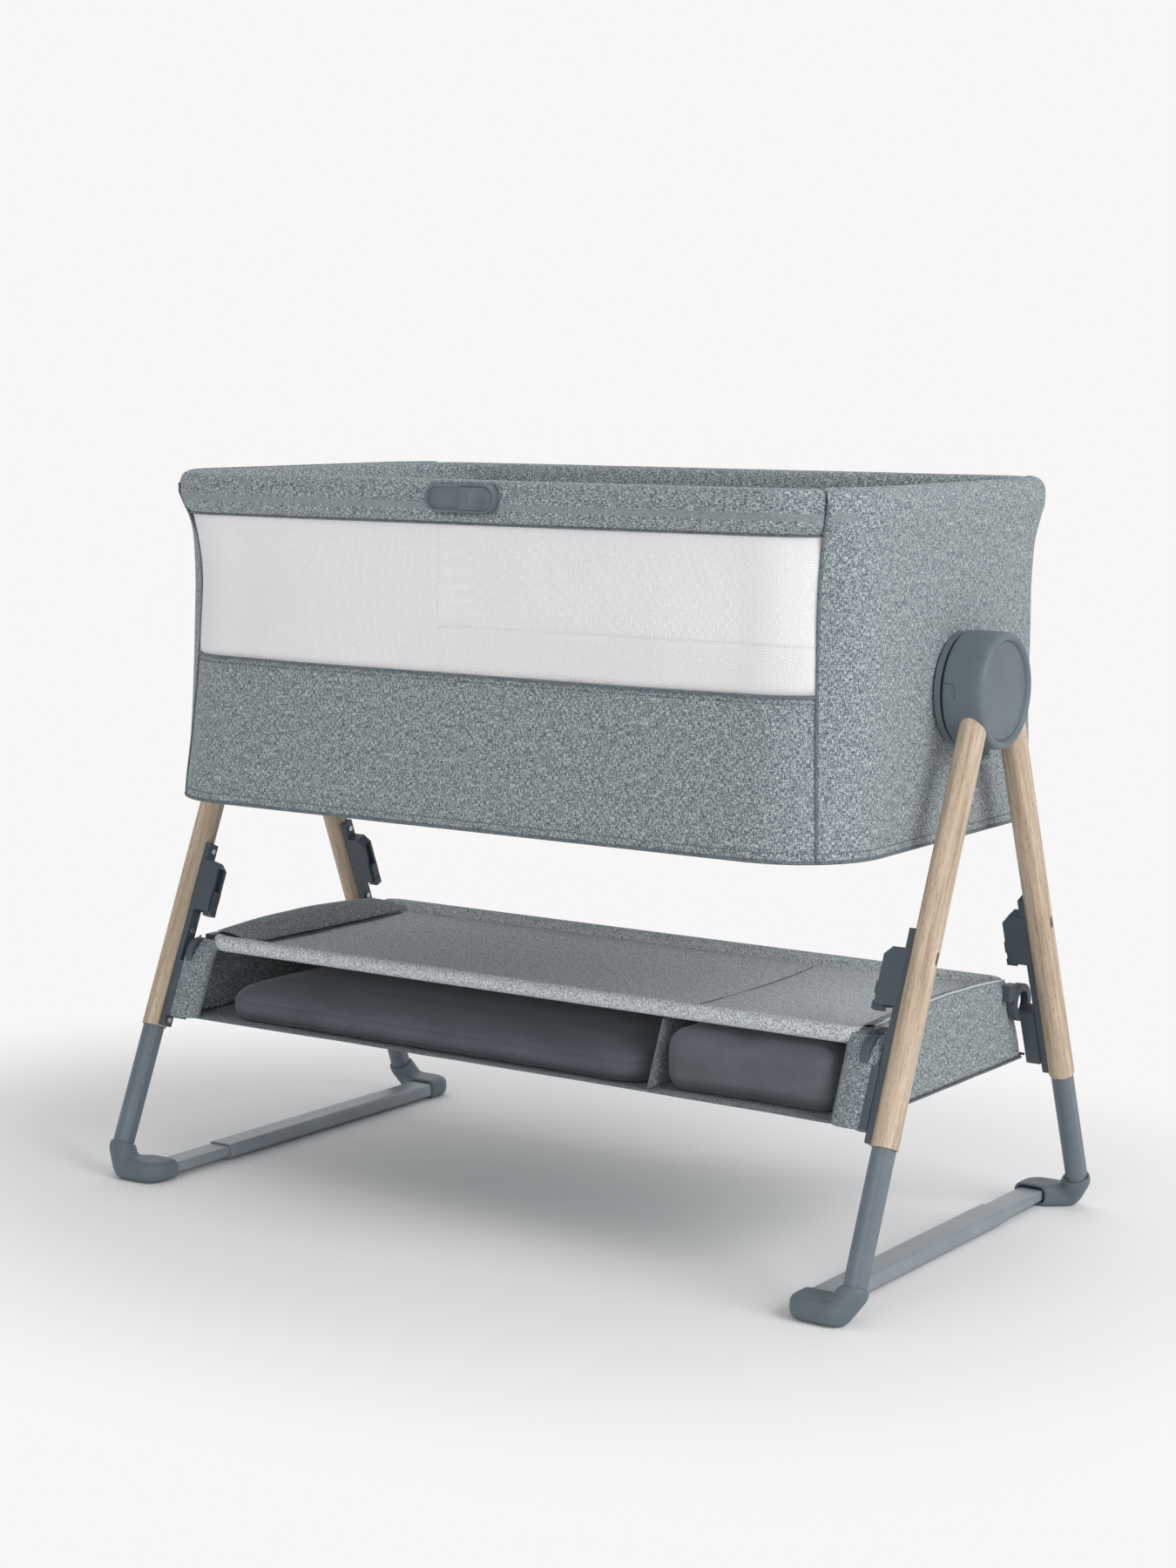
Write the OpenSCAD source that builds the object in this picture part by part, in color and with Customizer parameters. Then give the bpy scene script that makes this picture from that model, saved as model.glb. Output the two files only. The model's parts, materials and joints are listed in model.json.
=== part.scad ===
// Bassinet on a stand: a soft-sided cradle with a fold-down front, hung between
// two A-shaped end frames whose feet slide up inside the legs, over a fabric shelf.
// X runs along the bassinet, the fold-down front faces -Y, and Z = 0 is the floor.

/* [Bassinet] */
// Outside length of the padded rim
rim_length = 890; // [870:5:892]
// Outside width of the padded rim
rim_width = 540; // [520:5:550]
// Outside radius of the rim's corners
rim_corner = 107; // [100:1:112]
// Height of the top of the rim above the floor
rim_top = 811; // [806:1:826]
// Height of the padded band round the rim
rim_band = 47; // [44:1:50]
// Height of the seam below the mesh windows
mesh_low = 611; // [596:1:621]
// Height of the underside of the bassinet
tub_bottom = 451; // [436:1:456]
// Thickness of the mattress
mattress_thick = 40; // [30:1:60]
// Angle round each corner at which the front and back panels end
seam_angle = 43; // [38:1:45]

/* [Stand] */
// Distance of the leg axes from the middle of the bassinet
leg_x = 479; // [478.5:0.5:479.5]
// Lean of each leg from the vertical
leg_lean = 22.5; // [22:0.5:23]
// Radius of a wooden leg at its top
leg_top_r = 14.4; // [14.2:0.1:14.5]
// Radius of a wooden leg at its bottom end
leg_low_r = 14.1; // [14:0.1:14.2]
// Radius of the metal tube that slides in each leg
tube_r = 12.3; // [12:0.1:12.4]
// Height of the swing axis above the floor
hub_z = 606; // [601:1:611]
// Radius of the hub drums
hub_r = 61; // [58:1:62]
// Distance that each foot slides up into its leg
foot_travel = 125; // [100:1:125]

/* [Shelf] */
// Height of the shelf's front and back tubes
shelf_z = 265; // [263:1:268]
// Height of the underside of the storage box below the shelf
box_bottom = 179; // [177:1:181]
// Distance of the divider from the middle of the shelf
divider_x = 195; // [180:1:210]

/* [Hidden] */
$fn = 64;
gap = 0.3;            // clearance between neighbouring parts
fit = 0.05;           // radial clearance of a running fit
big = 2000;           // larger than the whole object

// Rounded outline that the walls and tubes follow: half length, half width, corner radius
rim_hl = rim_length / 2;
rim_hw = rim_width / 2;
wall_inset = 6;
wall_hl = rim_hl - wall_inset;
wall_hw = rim_hw - wall_inset;
corner_x = rim_hl - rim_corner;
corner_y = rim_hw - rim_corner;
wall_r = rim_corner - wall_inset;
cloth = 3;
mesh_cloth = 2;
rim_low = rim_top - rim_band;
sleeve_thick = 32;
frame_tube_r = 10;
frame_wall = 1.8;
frame_path_r = rim_corner - sleeve_thick / 2 - 1;
frame_z = rim_low + rim_band / 2;
base_tube_r = 8;
base_path_r = frame_path_r - gap;
base_tube_z = tub_bottom + 14;
base_top = base_tube_z + base_tube_r;
board_thick = 6;
mattress_z = base_top + board_thick + 2 * gap;
seam_gap = 0.7;       // angle left open at the seams between panels

// Legs: s is the distance up a leg from the bottom end of its wood
leg_foot_z = 166;
leg_foot_y = 212.5;
leg_len = 446;
leg_bore_r = tube_r + fit;
tube_wall = 2;
tube_top_s = 206;
tube_low_s = -147;
tube_flat_x = 11.2;
catch_pin_s = 190;
catch_pin_r = 2.8;
pivot_x = 31;
pivot_s = 166;
window_s = 196;

// Hub
drum_x0 = 450;
drum_x1 = 495;
drum_wall = 4;
shaft_r = 12;
hub_cap_x = 489.8;
swing_plate_x = 440.3;
swing_plate_thick = 6.7;
end_frame_x = corner_x + frame_path_r;
upright_r = 6;
upright_y = 50;

// Feet and base bars
bar_x = 431;
bar_w = 34;
bar_h = 17;
bar_r = 5;
bar_z = 3;
bar_wall = 2;
boot_in_y = 246;
boot_h = 24;
boot_top_s = -138.5;
bar_in_boot = 22;
telescope_y = boot_in_y - 2 * foot_travel * sin(leg_lean) - gap;

// Shelf
shelf_hx = 429;
shelf_hy = 169;
shelf_tube_r = 7;
shelf_corner = 22;
wrap_r = shelf_tube_r + gap + 2;
wrap_hx = 400;
box_hx = 432;
box_floor = box_bottom + cloth + gap;
box_ceiling = shelf_z - wrap_r - gap;

// Catch on the front rail
catch_z = rim_low + 28;
bezel_r = 14.8;
bezel_x = 29;
button_x = 29;
button_r = 11.8;
sleeve_face_y = rim_hw;

// Colours
wood = [0.76, 0.69, 0.61];
fabric = [0.51, 0.54, 0.55];
pale_mesh = [0.86, 0.87, 0.87];
dark_metal = [0.42, 0.46, 0.49];
dark_plastic = [0.34, 0.38, 0.41];
dark_cloth = [0.28, 0.31, 0.34];
white_metal = [0.85, 0.85, 0.85];
foam_cover = [0.9, 0.9, 0.89];
board_tone = [0.6, 0.55, 0.48];

// ---------- Shared outlines ----------

// Rounded rectangle in plan, drawn with true arcs
module rounded_plan(hl, hw, r) {
    square([2 * (hl - r), 2 * hw], center = true);
    square([2 * hl, 2 * (hw - r)], center = true);
    for (x = [-1, 1], y = [-1, 1])
        translate([x * (hl - r), y * (hw - r)]) circle(r);
}

// Flat plate with a rounded outline
module rounded_plate(hl, hw, r, h) {
    linear_extrude(h) rounded_plan(hl, hw, r);
}

// Sweeps a section along the front of the outline and round both front corners.
// The section is drawn with x measured outwards from the corner's centre and y up.
module front_run(cx, cy, ang) {
    translate([cx, -cy, 0]) rotate([90, 0, -90]) linear_extrude(2 * cx) children();
    for (side = [0, 1])
        mirror([side, 0, 0]) translate([cx, -cy, 0]) rotate([0, 0, -90])
            rotate_extrude(angle = ang) children();
}

// Sweeps the section along one end and round part of its two corners
module end_run(cx, cy, ang) {
    translate([cx, cy, 0]) rotate([90, 0, 0]) linear_extrude(2 * cy) children();
    for (side = [0, 1])
        mirror([0, side, 0]) translate([cx, cy, 0]) rotate_extrude(angle = ang) children();
}

// The back half of the outline: back, both ends and part of the front corners
module back_run(cx, cy, ang) {
    mirror([0, 1, 0]) front_run(cx, cy, 90) children();
    for (side = [0, 1])
        mirror([side, 0, 0]) {
            translate([cx, cy, 0]) rotate([90, 0, 0]) linear_extrude(2 * cy) children();
            mirror([0, 1, 0]) translate([cx, cy, 0]) rotate_extrude(angle = ang) children();
        }
}

// Section of a tube at a given distance from the corner centre
module tube_section(path_r, z, r, wall) {
    translate([path_r, z]) difference() {
        circle(r);
        circle(r - wall);
    }
}

// Section of an upright cloth wall
module wall_section(outer_r, z0, z1, thick) {
    translate([outer_r - thick, z0]) square([thick, z1 - z0]);
}

// Section of the padded band that wraps the rim tube
module band_section() {
    soft = 11;
    difference() {
        translate([rim_corner - sleeve_thick / 2, frame_z])
            rounded_plan(sleeve_thick / 2, rim_band / 2, soft);
        translate([frame_path_r, frame_z]) circle(frame_tube_r + gap);
    }
}

// Puts children, drawn for the right rear corner, at one of the four corners
module corner(right, rear) {
    mirror([right ? 0 : 1, 0, 0]) mirror([0, rear ? 0 : 1, 0]) children();
}

// Leg frame of the right rear leg: Z up the leg, -X towards the middle of the stand
module on_leg() {
    translate([leg_x, leg_foot_y, leg_foot_z]) rotate([leg_lean, 0, 0]) children();
}

// ---------- End frames of the stand ----------

module leg_cone(extra) {
    translate([0, 0, -1]) cylinder(r1 = leg_low_r + extra, r2 = leg_top_r + extra, h = leg_len + 1);
}

module leg() {
    slot_w = 5;
    slot_h = 14;
    color(wood) difference() {
        leg_stick(slot_w, slot_h);
        // Flat that leaves room for the hub cap
        translate([hub_cap_x - gap, 0, hub_z]) rotate([0, 90, 0])
            cylinder(r = hub_r - drum_wall, h = 20, $fn = 96);
    }
}

module leg_stick(slot_w, slot_h) {
    on_leg() difference() {
        cylinder(r1 = leg_low_r, r2 = leg_top_r, h = leg_len);
        translate([0, 0, -1]) cylinder(r = leg_bore_r, h = leg_len - 40);
        // Height window on the outer face
        translate([5, 0, window_s]) rotate([0, 90, 0]) {
            translate([-slot_h / 2 + slot_w / 2, -slot_w / 2, 0]) cube([slot_h - slot_w, slot_w, 20]);
            for (end = [-1, 1])
                translate([end * (slot_h - slot_w) / 2, 0, 0]) cylinder(d = slot_w, h = 20);
        }
        // Slot for the catch pin on the inner face
        translate([-20, -catch_pin_r - 0.6, catch_pin_s - 5])
            cube([12, 2 * catch_pin_r + 1.2, 12]);
    }
}

module hub_drum() {
    boss_r = 20;
    sleeve_r = leg_top_r + 3.5;
    brake_r = 6;
    inner_r = hub_r - drum_wall;
    back = 5;
    color(dark_metal) difference() {
        union() {
            translate([drum_x0, 0, hub_z]) rotate([0, 90, 0]) difference() {
                cylinder(r = hub_r, h = drum_x1 - drum_x0, $fn = 96);
                translate([0, 0, back]) cylinder(r = inner_r, h = drum_x1, $fn = 96);
            }
            translate([drum_x0 + 1, 0, hub_z]) rotate([0, 90, 0])
                cylinder(r = boss_r, h = 34);
            intersection() {
                translate([drum_x0 + 1, 0, hub_z]) rotate([0, 90, 0])
                    cylinder(r = hub_r - 1, h = 35);
                for (rear = [false, true])
                    mirror([0, rear ? 0 : 1, 0]) on_leg()
                        translate([0, 0, leg_len - 60]) cylinder(r = sleeve_r, h = 64);
            }
            intersection() {
                translate([drum_x0 + 1, 0, hub_z]) rotate([0, 90, 0])
                    cylinder(r = hub_r - 1, h = 30);
                translate([470, 0, hub_z - hub_r]) cylinder(r = brake_r + 3, h = 50);
            }
        }
        // Sockets for the leg tops
        for (rear = [false, true])
            mirror([0, rear ? 0 : 1, 0]) on_leg() translate([0, 0, leg_len - 80])
                cylinder(r = leg_top_r + 0.15, h = 80 + gap);
        // Bore for the swing shaft
        translate([drum_x0 - 1, 0, hub_z]) rotate([0, 90, 0]) cylinder(r = shaft_r + fit, h = 30);
        // Bore for the swing brake
        translate([470, 0, hub_z - hub_r - 5]) cylinder(r = brake_r + fit, h = hub_r);
    }
}

module hub_cap() {
    plate = 2.6;
    color(dark_plastic) translate([hub_cap_x, 0, hub_z]) rotate([0, 90, 0]) difference() {
        cylinder(r = hub_r - drum_wall - fit, h = plate, $fn = 96);
        translate([0, 0, plate - 0.6]) cylinder(r = hub_r - drum_wall - 7, h = 1, $fn = 96);
    }
}

module swing_brake() {
    knob = 5;
    color(dark_plastic) translate([470, 0, hub_z - hub_r]) {
        translate([0, 0, -knob - 1]) cylinder(r = 6, h = hub_r - shaft_r + knob - 4.2);
        translate([0, 0, -2 * knob]) cylinder(r = 7.5, h = knob);
    }
}

// ---------- Height guides on the legs ----------

module guide_plate() {
    strip_x = 19.5;
    strip_w = 15;
    strip_len = 223;
    house_x = 41;
    house_w = 17;
    house_s0 = 142;
    house_len = 60;
    lever_w = 10.4;
    on_leg() difference() {
        union() {
            translate([-strip_x, -strip_w / 2, 2]) cube([strip_x - 8, strip_w, strip_len - 2]);
            translate([-house_x, -house_w / 2, house_s0]) cube([house_x - 16, house_w, house_len]);
        }
        leg_cone(fit);
        // Channel for the lever, open at the lower end and at the inner face
        translate([-house_x - 1, -lever_w / 2, house_s0 - 1])
            cube([house_x - strip_x + 1, lever_w, house_len - 7]);
        // Slot for the catch pin
        translate([-strip_x - 1, -catch_pin_r - 0.6, catch_pin_s - 5])
            cube([14, 2 * catch_pin_r + 1.2, 12]);
        // Bore for the lever's pivot
        translate([-pivot_x, 0, pivot_s]) rotate([90, 0, 0])
            cylinder(r = 2.5 + fit, h = 2 * house_w, center = true);
        // Sloped nose at the top of the housing
        translate([-house_x, 0, house_s0 + house_len]) rotate([0, 45, 0])
            cube([12, 2 * house_w, 12], center = true);
    }
}

module guide_plates() {
    color(dark_plastic)
        for (right = [false, true], rear = [false, true]) corner(right, rear) guide_plate();
}

module guide_screws() {
    head_r = 3.4;
    head_h = 1.8;
    color(white_metal)
        for (right = [false, true], rear = [false, true])
            corner(right, rear) on_leg()
                for (s = [9, 117, 214])
                    translate([-19.5 - head_h, 0, s]) rotate([0, 90, 0]) cylinder(r = head_r, h = head_h);
}

// Squeeze lever: its lower end is pressed towards the leg and draws the pin out of the tube
module height_lever() {
    arm_x0 = 27;
    arm_x1 = 44.5;
    arm_w = 9.6;
    low_s = 137;
    top_s = 193;
    color(dark_metal) on_leg() {
        difference() {
            union() {
                translate([-arm_x1, -arm_w / 2, low_s]) cube([12, arm_w, pivot_s - low_s]);
                translate([-36, -arm_w / 2, pivot_s - 8]) cube([36 - arm_x0, arm_w, top_s - pivot_s + 8]);
                translate([-pivot_x, 0, pivot_s]) rotate([90, 0, 0])
                    cylinder(r = 2.5, h = 16.6, center = true);
            }
            // Rounded finger hollow in the pressed end
            translate([-arm_x1 - 4, 0, low_s + 12]) rotate([90, 0, 0])
                cylinder(r = 6, h = 20, center = true);
        }
        translate([-arm_x0 - 1, 0, catch_pin_s - 1.5]) rotate([0, 90, 0])
            cylinder(r = catch_pin_r, h = arm_x0 + 1 - 10.2);
    }
}

// ---------- Feet ----------

module foot_tube() {
    slot_w = 7.2;
    slot_s0 = catch_pin_s - foot_travel - 8;
    color(dark_metal) on_leg() difference() {
        intersection() {
            translate([0, 0, tube_low_s]) cylinder(r = tube_r, h = tube_top_s - tube_low_s);
            translate([-tube_flat_x, -20, tube_low_s]) cube([2 * tube_flat_x, 40, tube_top_s - tube_low_s]);
        }
        translate([0, 0, tube_low_s - 1])
            cylinder(r = tube_r - tube_wall, h = tube_top_s - tube_low_s + 2);
        // Long slot that the catch pin runs in
        translate([-20, -slot_w / 2, slot_s0]) cube([15, slot_w, foot_travel + 16]);
    }
}

module bar_section(w, h, r) {
    rounded_plan(w / 2, h / 2, r);
}

module bar(y0, y1, shrink) {
    translate([bar_x, y1, bar_z + bar_h / 2]) rotate([90, 0, 0]) linear_extrude(y1 - y0)
        bar_section(bar_w - 2 * shrink, bar_h - 2 * shrink, bar_r - shrink);
}

// Moulded elbow that joins a foot tube to a base bar, drawn at the right rear corner
module boot() {
    toe_x = 433;
    toe_y = 269;
    toe_r = 22;
    heel_x = 462;
    heel_y = 275;
    heel_r = 17;
    mouth_w = bar_w + 6;
    edge = 5;
    collar_r = 15.2;
    collar_h = 10;
    color(dark_plastic) difference() {
        union() {
            // Toe that lies on the floor and holds the bar
            hull() {
                for (c = [[toe_x, toe_y, toe_r], [heel_x, heel_y, heel_r]]) {
                    translate([c.x, c.y, edge]) cylinder(r = c.z, h = boot_h - 2 * edge, $fn = 32);
                    translate([c.x, c.y, 0]) cylinder(r = c.z - edge, h = boot_h, $fn = 32);
                }
                translate([bar_x - mouth_w / 2, boot_in_y, edge])
                    cube([mouth_w, 10, boot_h - 2 * edge]);
                translate([bar_x - mouth_w / 2 + edge, boot_in_y, 0])
                    cube([mouth_w - 2 * edge, 10, boot_h]);
            }
            // Elbow up to the foot tube
            hull() {
                on_leg() translate([0, 0, boot_top_s - collar_h])
                    cylinder(r = collar_r, h = collar_h, $fn = 32);
                translate([heel_x + 6, heel_y, collar_r]) sphere(r = collar_r, $fn = 32);
            }
        }
        bar(0, boot_in_y + bar_in_boot, 0);
        on_leg() translate([0, 0, tube_low_s]) cylinder(r = tube_r, h = 40);
        translate([0, 0, -50]) cube([big, big, 100], center = true);
    }
}

// Outer base bar of the right end: fixed to the front boot, open at its rear end
module outer_bar() {
    color(dark_metal) difference() {
        bar(-boot_in_y - bar_in_boot, telescope_y, 0);
        bar(-boot_in_y + 30, telescope_y + 1, bar_wall);
    }
}

// Inner base bar of the right end: fixed to the rear boot, slides in the outer bar
module inner_bar() {
    slip = bar_wall + gap;
    engaged = 80;
    color(dark_metal) difference() {
        bar(telescope_y - engaged, boot_in_y + bar_in_boot, slip);
        bar(telescope_y - engaged - 1, boot_in_y - 10, slip + bar_wall);
    }
}

// The left end is the right end turned half round
module turned() {
    rotate([0, 0, 180]) children();
}

// ---------- Shelf ----------

module shelf_frame() {
    cx = shelf_hx - shelf_corner;
    cy = shelf_hy - shelf_corner;
    color(dark_metal) {
        translate([0, 0, shelf_z]) {
            for (y = [-1, 1]) translate([-cx, y * shelf_hy, 0]) rotate([0, 90, 0])
                cylinder(r = shelf_tube_r, h = 2 * cx);
            for (x = [-1, 1]) translate([x * shelf_hx, cy, 0]) rotate([90, 0, 0])
                cylinder(r = shelf_tube_r, h = 2 * cy);
            for (x = [0, 1], y = [0, 1])
                mirror([x, 0, 0]) mirror([0, y, 0]) translate([cx, cy, 0])
                    rotate_extrude(angle = 90) translate([shelf_corner, 0]) circle(shelf_tube_r);
        }
    }
}

// Socket on each leg's guide plate with a hook that carries the corner of the shelf frame
module shelf_bracket() {
    hook_r = 21;
    hook_t = 8;
    hook_y = shelf_hy + 3;
    hook_z = shelf_z - 17;
    plate_x0 = 438.4;
    color(dark_plastic) {
        on_leg() translate([-36, -10, 14]) cube([36 - 19.5 - 2 * fit, 20, 66]);
        translate([plate_x0, hook_y, hook_z]) rotate([0, 90, 0]) difference() {
            cylinder(r = hook_r, h = 9);
            translate([0, 0, -1]) cylinder(r = hook_r - hook_t, h = 11);
        }
        // Pad that the frame tube rests against
        translate([shelf_hx + shelf_tube_r, shelf_hy - 31, shelf_z - 12]) cube([11, 20, 18]);
    }
}

module shelf_brackets() {
    for (right = [false, true], rear = [false, true]) corner(right, rear) shelf_bracket();
}

// Cloth top of the shelf, wrapped round the front and back tubes
module shelf_deck() {
    inner = shelf_tube_r + gap;
    color(fabric) difference() {
        union() {
            translate([0, 0, shelf_z - 6]) {
                rounded_plate(shelf_hx - inner, shelf_hy - inner, shelf_corner - inner, cloth);
                translate([-wrap_hx, -shelf_hy, 0]) cube([2 * wrap_hx, 2 * shelf_hy, cloth]);
            }
            shelf_bars(wrap_r, wrap_hx);
        }
        shelf_bars(inner, big);
    }
}

// Solid bars along the shelf's front and back tubes
module shelf_bars(r, half_len) {
    for (y = [-1, 1]) translate([-half_len, y * shelf_hy, shelf_z]) rotate([0, 90, 0])
        cylinder(r = r, h = 2 * half_len);
}

// Distance of the legs' leaning plane from the middle of the stand at a given height
function lean_y(z) = leg_foot_y + (leg_foot_z - z) * tan(leg_lean);

// Upright cloth across the storage box, as deep as the space between the leaning planes
module box_web(x, inset, top) {
    translate([x, 0, 0]) rotate([90, 0, 90]) linear_extrude(cloth) polygon([
        [inset - lean_y(box_floor), box_floor], [lean_y(box_floor) - inset, box_floor],
        [lean_y(top) - inset, top], [inset - lean_y(top), top]
    ]);
}

module shelf_floor() {
    edge = 3;
    color(fabric) translate([0, 0, box_bottom])
        rounded_plate(box_hx, lean_y(box_bottom) - edge, 20, cloth);
}

module shelf_ends() {
    inset = 14;
    color(fabric)
        for (side = [-1, 1])
            box_web(side * shelf_hx - cloth / 2, inset, shelf_z - shelf_tube_r - gap);
}

module shelf_back() {
    half_len = 415;
    color(fabric) translate([-half_len, 0, 0]) rotate([90, 0, 90]) linear_extrude(2 * half_len)
        polygon([
            [lean_y(box_floor), box_floor], [lean_y(box_ceiling), box_ceiling],
            [lean_y(box_ceiling) - cloth, box_ceiling], [lean_y(box_floor) - cloth, box_floor]
        ]);
}

module shelf_divider() {
    color(fabric) box_web(divider_x, cloth + 1, box_ceiling);
}

module storage_pad() {
    hx = 292;
    hy = 175;
    front = -198;
    thick = 50;
    color(dark_cloth) translate([divider_x - 6 - hx, front + hy, box_floor])
        rounded_plate(hx, hy, 45, thick);
}

module storage_roll() {
    hx = 104;
    hy = 142;
    front = -194;
    thick = 66;
    color(dark_cloth) translate([divider_x + cloth + 3 + hx, front + hy, box_floor])
        rounded_plate(hx, hy, 30, thick);
}

// ---------- Cradle frame ----------

module rim_tube() {
    color(dark_metal) back_run(corner_x, corner_y, 90 - seam_angle - seam_gap)
        tube_section(frame_path_r, frame_z, frame_tube_r, frame_wall);
}

module lower_tube() {
    color(dark_metal) {
        front_run(corner_x, corner_y, 90)
            tube_section(base_path_r, base_tube_z, base_tube_r, frame_wall);
        mirror([0, 1, 0]) front_run(corner_x, corner_y, 90)
            tube_section(base_path_r, base_tube_z, base_tube_r, frame_wall);
        for (side = [0, 1])
            mirror([side, 0, 0]) translate([corner_x, corner_y, 0]) rotate([90, 0, 0])
                linear_extrude(2 * corner_y)
                    tube_section(base_path_r, base_tube_z, base_tube_r, frame_wall);
    }
}

// Two welded uprights with a plate between them that takes the swing shaft
module end_frame() {
    bury = 1.2;
    z0 = base_tube_z + base_tube_r - bury;
    z1 = frame_z - frame_tube_r + bury;
    plate_h = 92;
    plate_t = 4;
    color(dark_metal) difference() {
        union() {
            for (y = [-1, 1]) translate([end_frame_x, y * upright_y, z0])
                cylinder(r = upright_r, h = z1 - z0);
            translate([end_frame_x - upright_r, -upright_y, hub_z - plate_h / 2])
                cube([plate_t, 2 * upright_y, plate_h]);
        }
        translate([end_frame_x - 20, 0, hub_z]) rotate([0, 90, 0]) cylinder(r = shaft_r + 0.01, h = 60);
    }
}

// Ring plate outside the end cloth, with the shaft that turns in the hub drum
module swing_plate() {
    shaft_end = 478;
    color(dark_plastic) translate([0, 0, hub_z]) rotate([0, 90, 0]) {
        translate([0, 0, swing_plate_x]) cylinder(r = hub_r - 2, h = swing_plate_thick, $fn = 96);
        translate([0, 0, end_frame_x - 8]) cylinder(r = shaft_r, h = shaft_end - end_frame_x + 8);
    }
}

module base_board() {
    margin = cloth + 3;
    color(board_tone) translate([0, 0, base_top + gap])
        rounded_plate(end_frame_x - upright_r - gap, wall_hw - margin, wall_r - margin, board_thick);
}

module floor_cloth() {
    color(fabric) translate([0, 0, tub_bottom])
        rounded_plate(wall_hl - cloth - gap, wall_hw - cloth - gap, wall_r - cloth - gap, cloth);
}

module mattress() {
    margin = 22;
    color(foam_cover) translate([0, 0, mattress_z])
        rounded_plate(wall_hl - margin, wall_hw - margin, wall_r - margin, mattress_thick);
}

module rim_sleeve() {
    color(fabric) difference() {
        back_run(corner_x, corner_y, 90 - seam_angle - seam_gap) band_section();
        // Passages for the uprights of the end frames
        for (x = [-1, 1], y = [-1, 1])
            translate([x * end_frame_x, y * upright_y, rim_low - 1])
                cylinder(r = upright_r + gap, h = rim_band / 2);
    }
}

// ---------- Cradle cloth ----------

module front_panel() {
    color(fabric) front_run(corner_x, corner_y, seam_angle - seam_gap)
        wall_section(wall_r, tub_bottom, mesh_low, cloth);
}

module rear_panel() {
    color(fabric) mirror([0, 1, 0]) front_run(corner_x, corner_y, seam_angle - seam_gap)
        wall_section(wall_r, tub_bottom, mesh_low - gap, cloth);
}

module rear_mesh() {
    color(pale_mesh) mirror([0, 1, 0]) front_run(corner_x, corner_y, seam_angle - seam_gap)
        wall_section(wall_r, mesh_low, rim_low - gap, mesh_cloth);
}

module end_panel() {
    color(fabric) difference() {
        end_run(corner_x, corner_y, 90 - seam_angle)
            wall_section(wall_r, tub_bottom, rim_low - gap, cloth);
        translate([corner_x, 0, hub_z]) rotate([0, 90, 0]) cylinder(r = shaft_r + 1, h = 200);
    }
}

// ---------- Fold-down front ----------

module front_rail() {
    color(dark_metal) front_run(corner_x, corner_y, seam_angle - seam_gap)
        tube_section(frame_path_r, frame_z, frame_tube_r, frame_wall);
}

module rail_sleeve() {
    color(fabric) difference() {
        front_run(corner_x, corner_y, seam_angle - seam_gap) band_section();
        pill(bezel_x, bezel_r + gap, sleeve_face_y + 20, frame_path_r + corner_y + frame_tube_r - 1);
    }
}

module front_mesh() {
    color(pale_mesh) front_run(corner_x, corner_y, seam_angle - seam_gap)
        wall_section(wall_r, mesh_low + 2.5, rim_low - gap, mesh_cloth);
}

// Upright slab with round ends on the front rail, from depth y1 out to depth y0
module pill(half_x, r, y0, y1) {
    translate([0, -y1, catch_z]) rotate([90, 0, 0]) linear_extrude(y0 - y1) {
        square([2 * half_x, 2 * r], center = true);
        for (side = [-1, 1]) translate([side * half_x, 0]) circle(r);
    }
}

module catch_bezel() {
    back_y = frame_path_r + corner_y + frame_tube_r + gap;
    color(dark_plastic) difference() {
        pill(bezel_x, bezel_r, sleeve_face_y + 8, back_y);
        translate([button_x - 8, 0, 0]) button_solid(button_r + 0.4, sleeve_face_y + 20, back_y + 3);
        translate([-button_x + 8, 0, 0]) flat_pocket(sleeve_face_y + 5);
    }
}

// Outline of the button: square at its inner end, round at its outer end
module button_solid(r, y0, y1) {
    translate([0, -y1, catch_z]) rotate([90, 0, 0]) linear_extrude(y0 - y1) {
        translate([-20, -r]) square([28, 2 * r]);
        translate([8, 0]) circle(r);
    }
}

// Shallow recess in the fixed half of the catch
module flat_pocket(y1) {
    translate([0, -y1, catch_z]) rotate([90, 0, 0]) linear_extrude(20) {
        translate([-8, -button_r]) square([button_x + 3, 2 * button_r]);
        translate([-8, 0]) circle(button_r);
    }
}

module catch_button() {
    back_y = frame_path_r + corner_y + frame_tube_r + 8;
    dish_r = 30;
    color(dark_metal) translate([button_x - 8, 0, 0]) difference() {
        button_solid(button_r, sleeve_face_y + 9, back_y);
        translate([4, -(sleeve_face_y + 9) - dish_r + 2.5, catch_z]) sphere(r = dish_r);
    }
}

// Sprung bolt in the right end of the rail; its cone stands in the open end of the rim tube
module rail_bolt() {
    shank_r = 4;
    shank = 16;
    tip = 6.2;
    color(white_metal)
        translate([corner_x, -corner_y, frame_z]) rotate([0, 0, seam_angle - 90])
            translate([frame_path_r, -shank, 0]) rotate([-90, 0, 0]) {
                cylinder(r = shank_r, h = shank);
                translate([0, 0, shank]) cylinder(r1 = shank_r, r2 = 1.5, h = tip);
            }
}

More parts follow.
